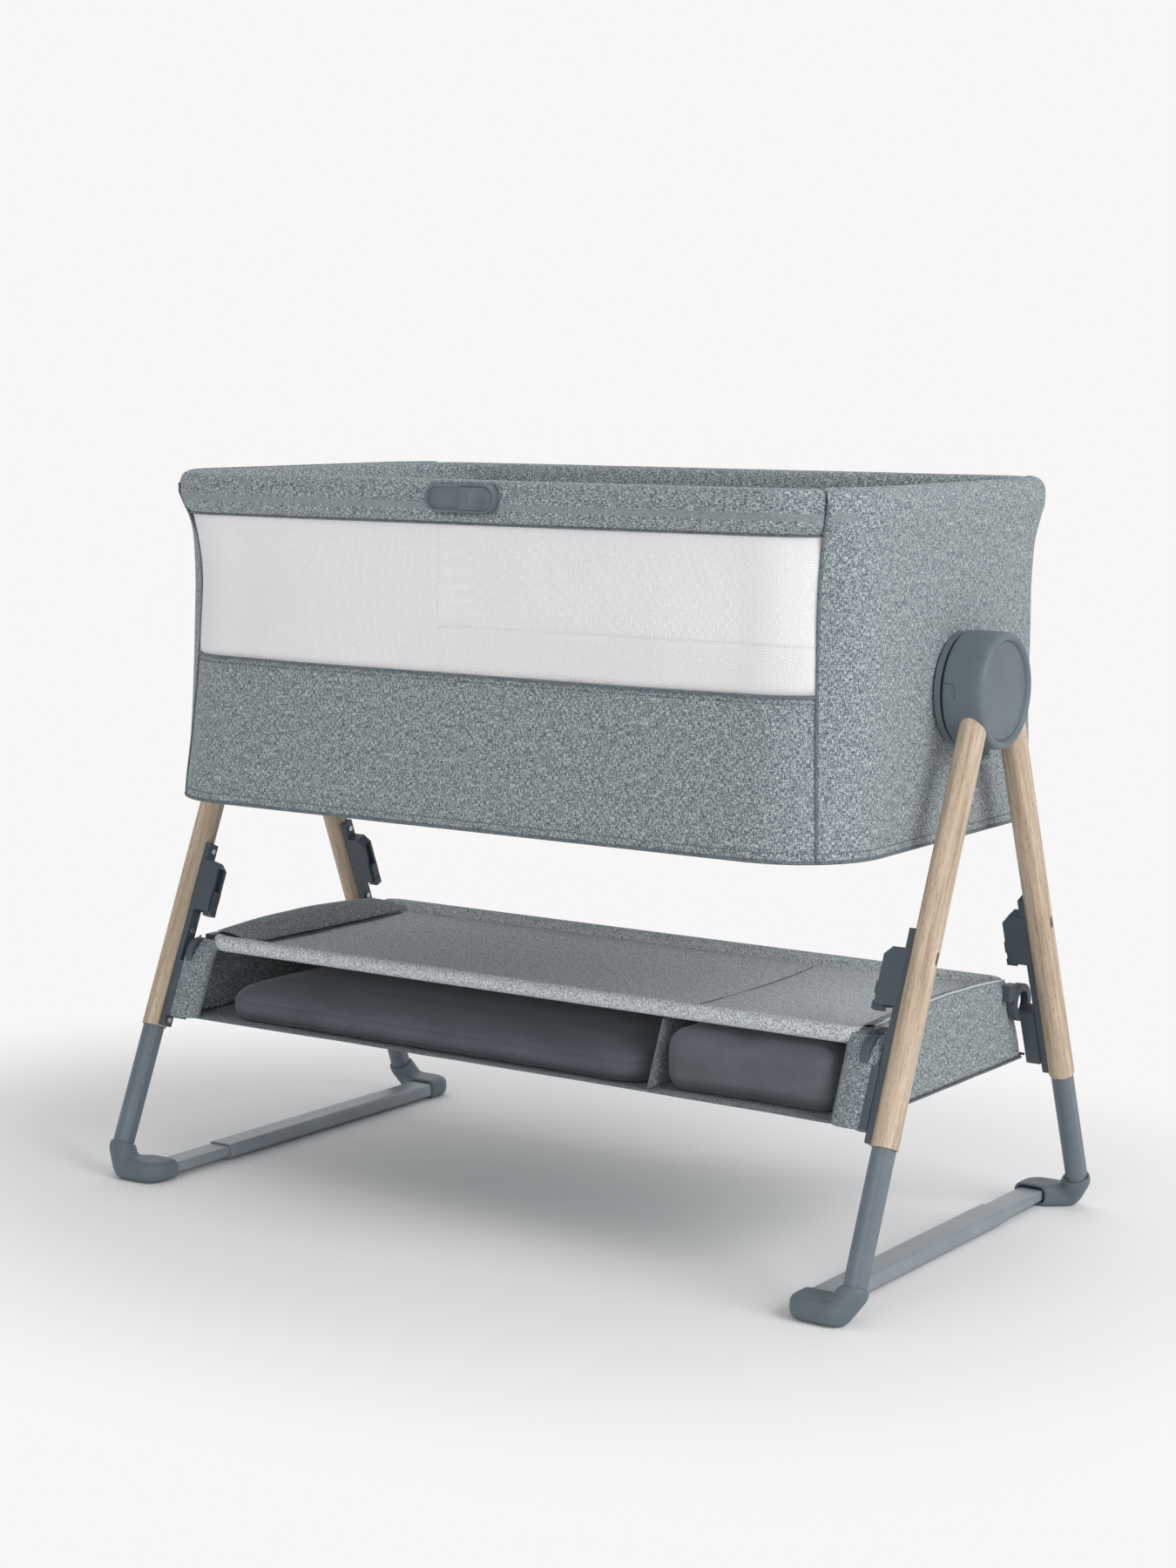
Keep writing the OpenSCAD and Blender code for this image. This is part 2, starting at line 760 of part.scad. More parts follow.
mirror([1, 0, 0]) hub_drum();  // left_hub_drum
hub_drum();  // right_hub_drum
mirror([1, 0, 0]) hub_cap();  // left_hub_cap
hub_cap();  // right_hub_cap
corner(false, false) leg();  // left_front_leg
corner(false, true) leg();  // left_rear_leg
corner(true, false) leg();  // right_front_leg
corner(true, true) leg();  // right_rear_leg
guide_plates();
guide_screws();
shelf_frame();
shelf_brackets();
shelf_deck();
shelf_floor();
shelf_ends();
shelf_back();
shelf_divider();
storage_pad();
storage_roll();
rim_tube();
lower_tube();
mirror([1, 0, 0]) end_frame();  // left_end_frame
end_frame();  // right_end_frame
mirror([1, 0, 0]) swing_plate();  // left_swing_plate
swing_plate();  // right_swing_plate
base_board();
floor_cloth();
mattress();
rim_sleeve();
front_panel();
rear_panel();
rear_mesh();
mirror([1, 0, 0]) end_panel();  // left_end_panel
end_panel();  // right_end_panel
front_rail();
rail_sleeve();
front_mesh();
catch_bezel();
catch_button();
mirror([1, 0, 0]) rail_bolt();  // left_rail_bolt
rail_bolt();  // right_rail_bolt
mirror([1, 0, 0]) swing_brake();  // left_swing_brake
swing_brake();  // right_swing_brake
corner(false, false) height_lever();  // left_front_lever
corner(false, true) height_lever();  // left_rear_lever
corner(true, false) height_lever();  // right_front_lever
corner(true, true) height_lever();  // right_rear_lever
corner(false, false) foot_tube();  // left_front_tube
corner(false, true) foot_tube();  // left_rear_tube
corner(true, false) foot_tube();  // right_front_tube
corner(true, true) foot_tube();  // right_rear_tube
corner(false, false) boot();  // left_front_boot
corner(false, true) boot();  // left_rear_boot
corner(true, false) boot();  // right_front_boot
corner(true, true) boot();  // right_rear_boot
turned() outer_bar();  // left_outer_bar
turned() inner_bar();  // left_inner_bar
outer_bar();  // right_outer_bar
inner_bar();  // right_inner_bar
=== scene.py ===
import json
import math

import bmesh
import bpy
import numpy as np
from mathutils import Matrix, Vector, noise
from mathutils.bvhtree import BVHTree


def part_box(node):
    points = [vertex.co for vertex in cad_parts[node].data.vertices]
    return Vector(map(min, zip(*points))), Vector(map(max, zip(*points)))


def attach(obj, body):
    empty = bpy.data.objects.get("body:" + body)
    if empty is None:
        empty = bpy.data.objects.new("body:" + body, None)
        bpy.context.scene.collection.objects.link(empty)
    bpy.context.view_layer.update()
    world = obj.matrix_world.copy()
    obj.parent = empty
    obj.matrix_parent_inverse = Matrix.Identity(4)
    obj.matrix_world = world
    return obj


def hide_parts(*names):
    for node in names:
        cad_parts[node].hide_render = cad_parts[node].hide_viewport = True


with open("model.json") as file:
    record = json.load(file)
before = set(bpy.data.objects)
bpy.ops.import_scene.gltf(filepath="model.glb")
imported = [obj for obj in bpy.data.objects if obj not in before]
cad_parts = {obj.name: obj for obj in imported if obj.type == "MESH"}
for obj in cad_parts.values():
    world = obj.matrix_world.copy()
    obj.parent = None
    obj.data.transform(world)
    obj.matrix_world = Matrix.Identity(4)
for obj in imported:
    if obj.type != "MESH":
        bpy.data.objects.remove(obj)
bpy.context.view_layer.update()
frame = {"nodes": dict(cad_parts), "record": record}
MM = 0.001

# ---------------------------------------------------------------- shared sizes (mm)
DROP = 14.0                    # all heights below are taken from this far under the floor
CX, CY = 338.0, 163.0          # corner centres of the tub's rounded outline
WALL_R = 101.0                 # outer radius of the cloth walls at the corners
RIM_R = 107.0                  # outside of the padded rim
TUB_Z = 465.0                  # bottom hem of the tub
SEAM_Z = 625.0                 # seam between the lower wall and the net
BAND_Z = 778.0                 # lower edge of the padded rim
RIM_Z = 801.5                  # middle of the padded rim
SEAM_A = 43.0                  # where the front and back panels end round the corners
LEG_TILT = 22.5                # lean of the legs from upright, in degrees
LEAN = math.tan(math.radians(LEG_TILT))
HUB_Z, HUB_R = 620.0, 61.0     # middle height and radius of the hub drums
SHELF_Z = 279.0                # centre line of the shelf's tube ring
SHELF_Y, SHELF_X = 169.0, 429.0
SHELF_C = 22.0                 # bend radius of the tube ring
BOX_Z = 197.0                  # floor of the shelf's cloth box
DIVIDER_X = 196.0              # divider between the two bays, and the seam above it


def metres(p):
    """A point in mm, with its height in the outlines' own count, as metres in the frame."""
    return (p[0] * MM, p[1] * MM, (p[2] - DROP) * MM)


def lean_y(z):
    """Half depth of the cloth box, which follows the lean of the legs."""
    return 212.5 + (180.0 - z) * LEAN


# How far tension pulls the cloth in between the base and the rim, as a share of the most
PULL = np.array([
    (465, 0), (485, .07), (509, .22), (534, .38), (558, .52), (590, .67), (620, .79), (650, .9),
    (680, .97), (704, 1), (728, .95), (752, .76), (777, .45), (790, .22), (803, 0), (830, 0),
])


def pull(z):
    return float(np.interp(z, PULL[:, 0], PULL[:, 1]))


def hang(y, z):
    """How far the cloth hangs below, or stands above, the level outline: low in front, high behind."""
    low_in_front, high_behind = 6.5, 10.5
    back = min(1.0, max(0.0, (y + 250) / 500))
    up = (z - TUB_Z) / 340
    return (1 - up) * -low_in_front * (1 - back) + up * high_behind * back


def soft_step(a, b, x):
    t = min(1.0, max(0.0, (x - a) / (b - a)))
    return t * t * (3 - 2 * t)


def wob(x, y, z, size):
    """Smooth irregularity between -1 and 1, with bumps of about the given size."""
    return noise.noise(Vector((x / size, y / size, z / size)))


# ---------------------------------------------------------------- materials
def shader(name):
    m = bpy.data.materials.new(name)
    m.use_nodes = True
    nt = m.node_tree
    nt.nodes.clear()
    out = nt.nodes.new("ShaderNodeOutputMaterial")
    bsdf = nt.nodes.new("ShaderNodeBsdfPrincipled")
    nt.links.new(bsdf.outputs[0], out.inputs[0])
    return m, nt, bsdf


def node(nt, kind, inputs=None, **props):
    n = nt.nodes.new(kind)
    for k, v in props.items():
        setattr(n, k, v)
    for k, v in (inputs or {}).items():
        if isinstance(v, bpy.types.NodeSocket):
            nt.links.new(v, n.inputs[k])
        else:
            n.inputs[k].default_value = v
    return n


def coords(nt, uv, scale=(1, 1, 1), turn=None):
    c = node(nt, "ShaderNodeTexCoord").outputs["UV" if uv else "Object"]
    if turn is not None:
        c = node(nt, "ShaderNodeMapping", {"Vector": c, "Rotation": turn}).outputs[0]
    return node(nt, "ShaderNodeMapping", {"Vector": c, "Scale": scale}).outputs[0]


def noise_tex(nt, vec, detail=2.0, rough=0.55):
    ins = {"Vector": vec, "Scale": 1.0, "Detail": detail, "Roughness": rough}
    return node(nt, "ShaderNodeTexNoise", ins).outputs["Fac"]


def spread(nt, value, low, high, at_low, at_high):
    """Maps low..high to at_low..at_high, held at both ends."""
    ins = {"Value": value, 1: low, 2: high, 3: at_low, 4: at_high}
    return node(nt, "ShaderNodeMapRange", ins).outputs[0]


def split(nt, vec):
    return node(nt, "ShaderNodeSeparateXYZ", {0: vec}).outputs


def blend(nt, factor, a, b, how="MIX"):
    ins = {"Factor": factor, 6: a, 7: b}
    return node(nt, "ShaderNodeMix", ins, data_type="RGBA", blend_type=how).outputs[2]


def darker(colour, share):
    return tuple(c * share for c in colour[:3]) + (1,)


def math_node(nt, op, a, b=0.0, clamp=False):
    return node(nt, "ShaderNodeMath", {0: a, 1: b}, operation=op, use_clamp=clamp).outputs[0]


def srgb(*rgb):
    """Linear colour of a screen colour given as 0 to 255."""
    return tuple(c / 255 / 12.92 if c <= 10 else ((c / 255 + 0.055) / 1.055) ** 2.4 for c in rgb) + (1.0,)


def ramp(nt, fac, stops):
    n = node(nt, "ShaderNodeValToRGB", {"Fac": fac})
    e = n.color_ramp.elements
    while len(e) < len(stops):
        e.new(0.5)
    for el, (p, c) in zip(e, stops):
        el.position, el.color = p, c
    return n.outputs[0]


def bump(nt, height, strength, distance, normal=None):
    ins = {"Height": height, "Strength": strength, "Distance": distance}
    if normal is not None:
        ins["Normal"] = normal
    return node(nt, "ShaderNodeBump", ins).outputs[0]


def melange(name, dark, mid, light, uv=True, size=1.0, sheen=0.12):
    """Two-tone woven cloth: streaks of warp and weft yarns with slubs, and a soft mottle."""
    m, nt, b = shader(name)
    k = 1.0 / size
    yarn = 2 * math.pi / .0011

    def pattern(across, along):
        scale = (across, along, 1) if uv else (across, across, along)
        return noise_tex(nt, coords(nt, uv, scale), 2.0, .6)

    warp = pattern(860 * k, 250 * k)
    weft = pattern(270 * k, 900 * k)
    blot = pattern(120, 90)
    thread = coords(nt, uv, (yarn, yarn, 1 if uv else yarn))
    mixed = math_node(nt, "ADD", math_node(nt, "MULTIPLY", warp, .5), math_node(nt, "MULTIPLY", weft, .38))
    mixed = math_node(nt, "ADD", mixed, math_node(nt, "MULTIPLY", blot, .12))
    col = ramp(nt, mixed, [(.40, dark), (.5, mid), (.59, light)])
    nt.links.new(col, b.inputs["Base Color"])
    u, v, _ = split(nt, thread)
    weave = math_node(nt, "MULTIPLY", math_node(nt, "SINE", u), math_node(nt, "SINE", v))
    height = math_node(nt, "ADD", math_node(nt, "MULTIPLY", weave, .25), mixed)
    b.inputs["Roughness"].default_value = .93
    b.inputs["Specular IOR Level"].default_value = .25
    b.inputs["Sheen Weight"].default_value = sheen
    b.inputs["Sheen Roughness"].default_value = .5
    nt.links.new(bump(nt, height, .55, .0006), b.inputs["Normal"])
    return m


def net(name, colour, pitch=.0026, open_share=.3):
    """Warp-knit net: staggered round holes between pale yarns."""
    m, nt, b = shader(name)
    u, v, _ = split(nt, coords(nt, True, (2 * math.pi / pitch, 2 * math.pi / (pitch * 1.15), 1)))
    cell = math_node(nt, "MULTIPLY", math_node(nt, "COSINE", u), math_node(nt, "COSINE", v))
    edge = .62 - open_share
    nt.links.new(spread(nt, cell, edge, edge + .25, 1.0, 0.0), b.inputs["Alpha"])
    yarn = noise_tex(nt, coords(nt, True, (700, 700, 1)), 2.0, .6)
    nt.links.new(ramp(nt, yarn, [(.3, darker(colour, .86)), (.62, colour)]), b.inputs["Base Color"])
    b.inputs["Roughness"].default_value = .8
    b.inputs["Sheen Weight"].default_value = .1
    nt.links.new(bump(nt, cell, .4, .0004), b.inputs["Normal"])
    return m


def edge_mask(nt, radius):
    """Bevelled normal, and a mask that is 1 on the corners it rounds."""
    bev = node(nt, "ShaderNodeBevel", {"Radius": radius}, samples=6).outputs[0]
    geo = node(nt, "ShaderNodeNewGeometry").outputs["Normal"]
    dot = node(nt, "ShaderNodeVectorMath", {0: bev, 1: geo}, operation="DOT_PRODUCT").outputs["Value"]
    return bev, spread(nt, dot, .995, .86, 0.0, 1.0)


def hard(name, colour, wear_and_highlight, rough, grain, depth, bevel=.0012, metallic=0.0, spec=.5):
    """Painted metal or moulded plastic: fine texture, slight mottle, and lighter edges in patches, partly
    rubbed wear and partly painted edge highlight.
    """
    m, nt, b = shader(name)
    bev, mask = edge_mask(nt, bevel)
    big = noise_tex(nt, coords(nt, False, (22, 22, 22)), 3.0, .6)
    fine = noise_tex(nt, coords(nt, False, (grain,) * 3), 2.0, .5)
    base = ramp(nt, big, [(.3, darker(colour, .92)), (.7, darker(colour, 1.08))])
    # Lighter colour on the rounded edges, broken into patches: partly rubbed wear, partly painted edge
    # highlight.
    wear_and_highlight_patches = spread(nt, noise_tex(nt, coords(nt, False, (160,) * 3), 3.0, .6), .35, .65, .15, .8)
    edge_wear_and_highlight = math_node(nt, "MULTIPLY", mask, wear_and_highlight_patches)
    nt.links.new(blend(nt, edge_wear_and_highlight, base, wear_and_highlight), b.inputs["Base Color"])
    nt.links.new(spread(nt, fine, .3, .7, rough - .05, rough + .06), b.inputs["Roughness"])
    b.inputs["Metallic"].default_value = metallic
    b.inputs["Specular IOR Level"].default_value = spec
    nt.links.new(bump(nt, fine, .35, depth, bev), b.inputs["Normal"])
    return m


def timber(name, turn):
    """Pale beech with straight grain up the leg and short ray flecks."""
    m, nt, b = shader(name)
    t = (math.radians(turn), 0, 0)
    long = noise_tex(nt, coords(nt, False, (210, 210, 9), t), 4.0, .62)
    fleck = noise_tex(nt, coords(nt, False, (820, 820, 120), t), 2.0, .5)
    tone = noise_tex(nt, coords(nt, False, (40, 40, 3), t), 2.0, .5)
    base = ramp(nt, long, [(.32, srgb(166, 145, 124)), (.5, srgb(194, 175, 154)), (.68, srgb(214, 198, 179))])
    spot = spread(nt, fleck, .57, .68, 0.0, .55)
    flecked = blend(nt, spot, base, srgb(146, 122, 100))
    shade = ramp(nt, tone, [(.3, (.90, .88, .86, 1)), (.7, (1.04, 1.04, 1.03, 1))])
    nt.links.new(blend(nt, 1.0, flecked, shade, "MULTIPLY"), b.inputs["Base Color"])
    bev, _ = edge_mask(nt, .001)
    nt.links.new(spread(nt, long, .3, .7, .62, .5), b.inputs["Roughness"])
    b.inputs["Specular IOR Level"].default_value = .35
    height = math_node(nt, "SUBTRACT", long, math_node(nt, "MULTIPLY", spot, .5))
    nt.links.new(bump(nt, height, .3, .0003, bev), b.inputs["Normal"])
    return m


def coated(name, dark, light):
    """Smooth dark coated cloth: very fine weave, soft creases, with painted shade that darkens the colour
    where the creases dip.
    """
    m, nt, b = shader(name)
    fine = noise_tex(nt, coords(nt, False, (1500,) * 3), 2.0, .6)
    crease = noise_tex(nt, coords(nt, False, (13, 20, 26)), 4.0, .55)
    both = math_node(nt, "ADD", math_node(nt, "MULTIPLY", fine, .45), math_node(nt, "MULTIPLY", crease, .55))
    # The colour follows the crease height: painted shade, darker in the hollows of the creases.
    nt.links.new(ramp(nt, both, [(.35, dark), (.65, light)]), b.inputs["Base Color"])
    nt.links.new(spread(nt, fine, .3, .7, .55, .7), b.inputs["Roughness"])
    b.inputs["Sheen Weight"].default_value = .25
    b.inputs["Sheen Roughness"].default_value = .45
    first = bump(nt, crease, .5, .004)
    nt.links.new(bump(nt, fine, .3, .0002, first), b.inputs["Normal"])
    return m


def quilted(name, colour, cell=.075):
    """White knitted cover, quilted in diamonds, with painted shade darkening the colour along the quilted
    seams.
    """
    m, nt, b = shader(name)
    u, v, _ = split(nt, coords(nt, False, (math.pi / cell,) * 3, (0, 0, math.radians(45))))
    u = math_node(nt, "ABSOLUTE", math_node(nt, "SINE", u))
    v = math_node(nt, "ABSOLUTE", math_node(nt, "SINE", v))
    pillow = math_node(nt, "POWER", math_node(nt, "MULTIPLY", u, v), .3)
    knit = noise_tex(nt, coords(nt, False, (900,) * 3), 2.0, .6)
    # Colour darkened where the quilting dips: painted shade along the seams.
    nt.links.new(ramp(nt, pillow, [(.1, darker(colour, .8)), (.6, colour)]), b.inputs["Base Color"])
    b.inputs["Roughness"].default_value = .9
    b.inputs["Sheen Weight"].default_value = .15
    first = bump(nt, pillow, .6, .005)
    nt.links.new(bump(nt, knit, .4, .0003, first), b.inputs["Normal"])
    return m


def fibre(name):
    """Brown pressed board."""
    m, nt, b = shader(name)
    n = noise_tex(nt, coords(nt, False, (260, 260, 260)), 5.0, .65)
    nt.links.new(ramp(nt, n, [(.35, srgb(134, 110, 84)), (.65, srgb(178, 154, 126))]), b.inputs["Base Color"])
    b.inputs["Roughness"].default_value = .85
    nt.links.new(bump(nt, n, .3, .0004), b.inputs["Normal"])
    return m


CLOTH = melange("melange_cloth", srgb(76, 85, 91), srgb(128, 137, 141), srgb(196, 203, 205))
CLOTH_DEEP = melange("melange_cloth_shelf", srgb(78, 87, 93), srgb(124, 133, 137), srgb(182, 190, 193))
# Lighter copy of the shelf cloth for the deck: painted light, making up for the shade that the tub casts on
# the deck.
CLOTH_DECK_PAINTED_LIGHT = melange("melange_cloth_deck_painted_light", srgb(124, 134, 140), srgb(194, 200, 203), srgb(240, 243, 244))
THREAD = melange("melange_thread", srgb(74, 82, 88), srgb(100, 109, 114), srgb(134, 142, 146),
                 uv=False, size=.7)
PALE = melange("pale_lining", srgb(206, 208, 209), srgb(221, 223, 224), srgb(233, 234, 235), size=.8)
NET = net("pale_net", srgb(249, 249, 250))
METAL = hard("slate_metal", srgb(104, 114, 122), srgb(150, 158, 163), .40, 900, .0001, spec=.5)
# Lighter copy of the slate metal for the base bars: painted light for the key light falling on their tops.
BAR_PAINTED_LIGHT = hard("slate_bar_painted_light", srgb(138, 147, 153), srgb(178, 184, 188), .36, 900, .0001, spec=.55)
PLASTIC = hard("slate_plastic", srgb(99, 111, 117), srgb(133, 143, 148), .5, 2200, .00015, spec=.45)
PLASTIC_DARK = hard("dark_guides", srgb(74, 84, 92), srgb(112, 121, 128), .5, 2200, .00015, bevel=.0009)
PLASTIC_CAP = hard("slate_cap", srgb(98, 109, 115), srgb(134, 143, 148), .5, 1700, .00018, spec=.45)
STEEL = hard("zinc_steel", srgb(176, 180, 184), srgb(214, 216, 218), .34, 1500, .00005,
             bevel=.0005, metallic=.9)
WOOD_FRONT = timber("beech_front", LEG_TILT)
WOOD_REAR = timber("beech_rear", -LEG_TILT)
PAD = coated("coated_cloth", srgb(66, 73, 80), srgb(87, 95, 102))
ROLL = coated("coated_cloth_roll", srgb(76, 83, 89), srgb(98, 105, 111))
QUILT = quilted("quilted_cover", srgb(228, 228, 226))
BOARD = fibre("fibre_board")

for name, ob in frame["nodes"].items():
    if name.endswith("_leg"):
        m = WOOD_FRONT if "front" in name else WOOD_REAR
    elif name.endswith("_bar"):
        m = BAR_PAINTED_LIGHT
    elif name in ("guide_screws", "left_rail_bolt", "right_rail_bolt"):
        m = STEEL
    elif name in ("guide_plates", "shelf_brackets") or name.endswith("_lever"):
        m = PLASTIC_DARK
    elif name.endswith(("_boot", "_brake", "_plate", "_cap", "_drum")) or name.startswith("catch"):
        m = PLASTIC
    elif name == "base_board":
        m = BOARD
    else:
        m = METAL
    ob.data.materials.clear()
    ob.data.materials.append(m)


# ---------------------------------------------------------------- mesh helpers
def add_mesh(name, verts, faces):
    """New object from corners in metres."""
    me = bpy.data.meshes.new(name)
    me.from_pydata(verts, [], faces)
    me.update()
    ob = bpy.data.objects.new(name, me)
    bpy.context.scene.collection.objects.link(ob)
    return ob


def face_outwards(ob):
    bm = bmesh.new()
    bm.from_mesh(ob.data)
    bmesh.ops.recalc_face_normals(bm, faces=bm.faces)
    bm.to_mesh(ob.data)
    bm.free()


def subdivide(ob):
    d = ob.modifiers.new("smooth", "SUBSURF")
    d.levels = d.render_levels = 1


def finish_piece(ob, mat, body, replaces=()):
    ob.data.materials.clear()
    ob.data.materials.append(mat)
    for p in ob.data.polygons:
        p.use_smooth = True
    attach(ob, body)
    if replaces:
        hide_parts(*replaces)


def grid(name, rows, wrap=False):
    """Mesh from rows of points in mm, with a UV map in metres that follows the cloth."""
    pts = np.array(rows, float)
    nr, nc = pts.shape[:2]
    du = np.linalg.norm(np.diff(pts, axis=1), axis=2)
    dv = np.linalg.norm(np.diff(pts, axis=0), axis=2)
    u = np.concatenate([[0], np.cumsum(du.mean(0))])
    v = np.concatenate([[0], np.cumsum(dv.mean(1))])
    faces = []
    cols = nc if wrap else nc - 1
    for i in range(nr - 1):
        for j in range(cols):
            k = (j + 1) % nc
            faces.append((i * nc + j, i * nc + k, (i + 1) * nc + k, (i + 1) * nc + j))
    ob = add_mesh(name, [metres(p) for p in pts.reshape(-1, 3)], faces)
    layer = ob.data.uv_layers.new(name="cloth")
    idx = np.zeros(len(ob.data.loops), np.int32)
    ob.data.loops.foreach_get("vertex_index", idx)
    uv = np.stack([u[idx % nc] * MM, v[idx // nc] * MM], 1)
    layer.data.foreach_set("uv", uv.astype(np.float32).ravel())
    ob["flat_w"], ob["flat_l"] = float(u[-1] * MM), float(v[-1] * MM)
    return ob


def thicken(ob, mm, offset):
    """Gives a sheet its thickness: inwards with offset -1, outwards with 1."""
    s = ob.modifiers.new("thick", "SOLIDIFY")
    s.thickness, s.offset, s.use_even_offset = mm * MM, offset, False


def cloth_sheet(name, rows, thick, mat, body, replaces=(),
                smooth=True):
    """A sheet of cloth from rows of points in mm, as thick as given in mm."""
    ob = grid(name, rows)
    thicken(ob, thick, -1.0)
    if smooth:
        subdivide(ob)
    finish_piece(ob, mat, body, replaces)


def tube(name, pts, r, mat, body, closed=False):
    """Round cord or piping swept along points in mm."""
    sides = 8
    P = [Vector(p) for p in pts]
    n = len(P)
    verts, faces = [], []
    last = None
    for i, p in enumerate(P):
        a = P[(i - 1) % n] if (closed or i > 0) else p
        b = P[(i + 1) % n] if (closed or i < n - 1) else p
        t = (b - a).normalized()
        if last is None:
            ref = Vector((0, 0, 1)) if abs(t.z) < .9 else Vector((1, 0, 0))
            last = t.cross(ref).normalized()
        side = (last - t * last.dot(t)).normalized()
        up = t.cross(side)
        last = side
        for k in range(sides):
            w = 2 * math.pi * k / sides
            verts.append(metres(p + side * r * math.cos(w) + up * r * math.sin(w)))
    for i in range(n if closed else n - 1):
        for k in range(sides):
            a, b = i * sides, ((i + 1) % n) * sides
            faces.append((a + k, a + (k + 1) % sides, b + (k + 1) % sides, b + k))
    if not closed:
        faces.append(tuple(range(sides))[::-1])
        faces.append(tuple((n - 1) * sides + k for k in range(sides)))
    finish_piece(add_mesh(name, verts, faces), mat, body)


def stitches(name, lines, mat, body, pitch=5.0, length=3.2, wide=.9):
    """Rows of short raised stitches; each line is a list of (point, outward normal) in mm."""
    verts, faces = [], []
    for line in lines:
        P = [Vector(p) for p, _ in line]
        N = [Vector(q).normalized() for _, q in line]
        run = [0.0]
        for a, b in zip(P, P[1:]):
            run.append(run[-1] + (b - a).length)
        s = pitch / 2
        j = 0
        while s + length < run[-1]:
            ends = []
            for q in (s, s + length):
                while run[j + 1] < q:
                    j += 1
                f = (q - run[j]) / max(run[j + 1] - run[j], 1e-6)
                ends.append((P[j].lerp(P[j + 1], f), N[j].lerp(N[j + 1], f).normalized()))
            (a, na), (b, nb) = ends
            t = (b - a).normalized()
            side = t.cross(na).normalized() * wide / 2
            q = len(verts)
            mid = (a + b) / 2 + (na + nb) / 2 * .55
            for v in (a + side, a - side, b - side, b + side):
                verts.append(metres(v))
            for along, over in ((-1, 1), (-1, -1), (1, -1), (1, 1)):
                verts.append(metres(mid + t * length * .22 * along + side * .55 * over))
            faces += [(q + 4, q + 5, q + 6, q + 7), (q, q + 1, q + 5, q + 4), (q + 1, q + 2, q + 6, q + 5),
                      (q + 2, q + 3, q + 7, q + 6), (q + 3, q, q + 4, q + 7), (q + 3, q + 2, q + 1, q)]
            s += pitch
    finish_piece(add_mesh(name, verts, faces), mat, body)


# ---------------------------------------------------------------- the bassinet's rounded outline
CORNERS = [(CX, CY), (-CX, CY), (-CX, -CY), (CX, -CY)]


def share(w, q):
    """Share of the pull at an angle round corner q: most at the seam, little on the end."""
    past = (w - q * 90) if q % 2 == 0 else 90 - (w - q * 90)     # degrees from the end's normal
    past = 90 - SEAM_A - past
    if past > 0:
        return .15 + .85 * math.exp(-(past / 18) ** 2)
    return 1 - .2 * (past / SEAM_A) ** 2


def stations(a0, a1, line=9.0, arc=4.0):
    """(centre x, y, normal x, y, share of corner) round the outline between two normal angles."""
    out = []
    a = a0
    while True:
        q = math.floor((a + 1e-6) / 90)
        end = min(a1, (q + 1) * 90)
        c = CORNERS[q % 4]
        n = max(2, math.ceil((end - a) / arc))
        for i in range(n + 1):
            w = a + (end - a) * i / n
            out.append((c[0], c[1], math.cos(math.radians(w)), math.sin(math.radians(w)), share(w, q)))
        if end >= a1 - 1e-6:
            return out
        e = CORNERS[(q + 1) % 4]
        length = math.hypot(e[0] - c[0], e[1] - c[1])
        m = math.ceil(length / line)
        nx, ny = math.cos(math.radians(end)), math.sin(math.radians(end))
        top = .15 if abs(nx) > .5 else .8
        for i in range(1, m):
            d = length * min(i, m - i) / m
            x, y = c[0] + (e[0] - c[0]) * i / m, c[1] + (e[1] - c[1]) * i / m
            out.append((x, y, nx, ny, top * math.exp(-(d / 75) ** 2)))
        a = end


def depth(st):
    """The most that the cloth is pulled in at a station, in mm."""
    low = 1.0 + 3.5 * st[3] ** 2
    return low + (19.0 - low) * st[4]


def wall_point(st, z, r, extra=0.0):
    """Point on the cloth wall at a station and a height, on a corner radius r."""
    d = r - depth(st) * pull(z) + extra
    y = st[1] + st[3] * d
    return (st[0] + st[2] * d, y, z + hang(y, z))


def wall_rows(sts, zs, r=WALL_R, amp=.7, hem=(), flare=None):
    """Rows of wall points with soft unevenness, and small puckers at the heights in hem."""
    rows = []
    for z in zs:
        row = []
        for st in sts:
            x, y = st[0] + st[2] * r, st[1] + st[3] * r
            e = amp * wob(x, y, z, 55) + .5 * amp * wob(x, y, z * .35, 17)
            for hz in hem:
                e += .8 * math.exp(-abs(z - hz) / 9) * wob(x, y, 0, 9)
            rr = r if flare is None else r + flare(z)
            row.append(wall_point(st, z, rr, e))
        rows.append(row)
    return rows


def span(a, b, n):
    """n + 1 evenly spaced values from a to b."""
    return [a + (b - a) * i / n for i in range(n + 1)]


def levels(z0, z1, step):
    """Evenly spaced values from z0 to z1, about step apart."""
    n = max(2, round((z1 - z0) / step))
    return span(z0, z1, n)


FRONT = (270 - SEAM_A, 270 + SEAM_A)
REAR = (90 - SEAM_A, 90 + SEAM_A)
RIGHT = (-90 + SEAM_A, 90 - SEAM_A)
LEFT = (90 + SEAM_A, 270 - SEAM_A)


def hem_rows(sts, z0, z1, r, hem, amp=.7):
    """Wall rows that start with a small turned-in hem under the bottom edge."""
    first = []
    for drop, inset in ((1.0, 9.0), (-1.0, 4.0), (-.8, 1.2)):
        first.append([wall_point(st, z0 + 1 + drop, r, -inset) for st in sts])
    return first + wall_rows(sts, levels(z0 + 2, z1, 10), r, amp, hem)


STATIONS = {side: stations(*arc) for side, arc in
            (("front", FRONT), ("rear", REAR), ("right", RIGHT), ("left", LEFT))}
LONG_SIDES = ("front", "rear")

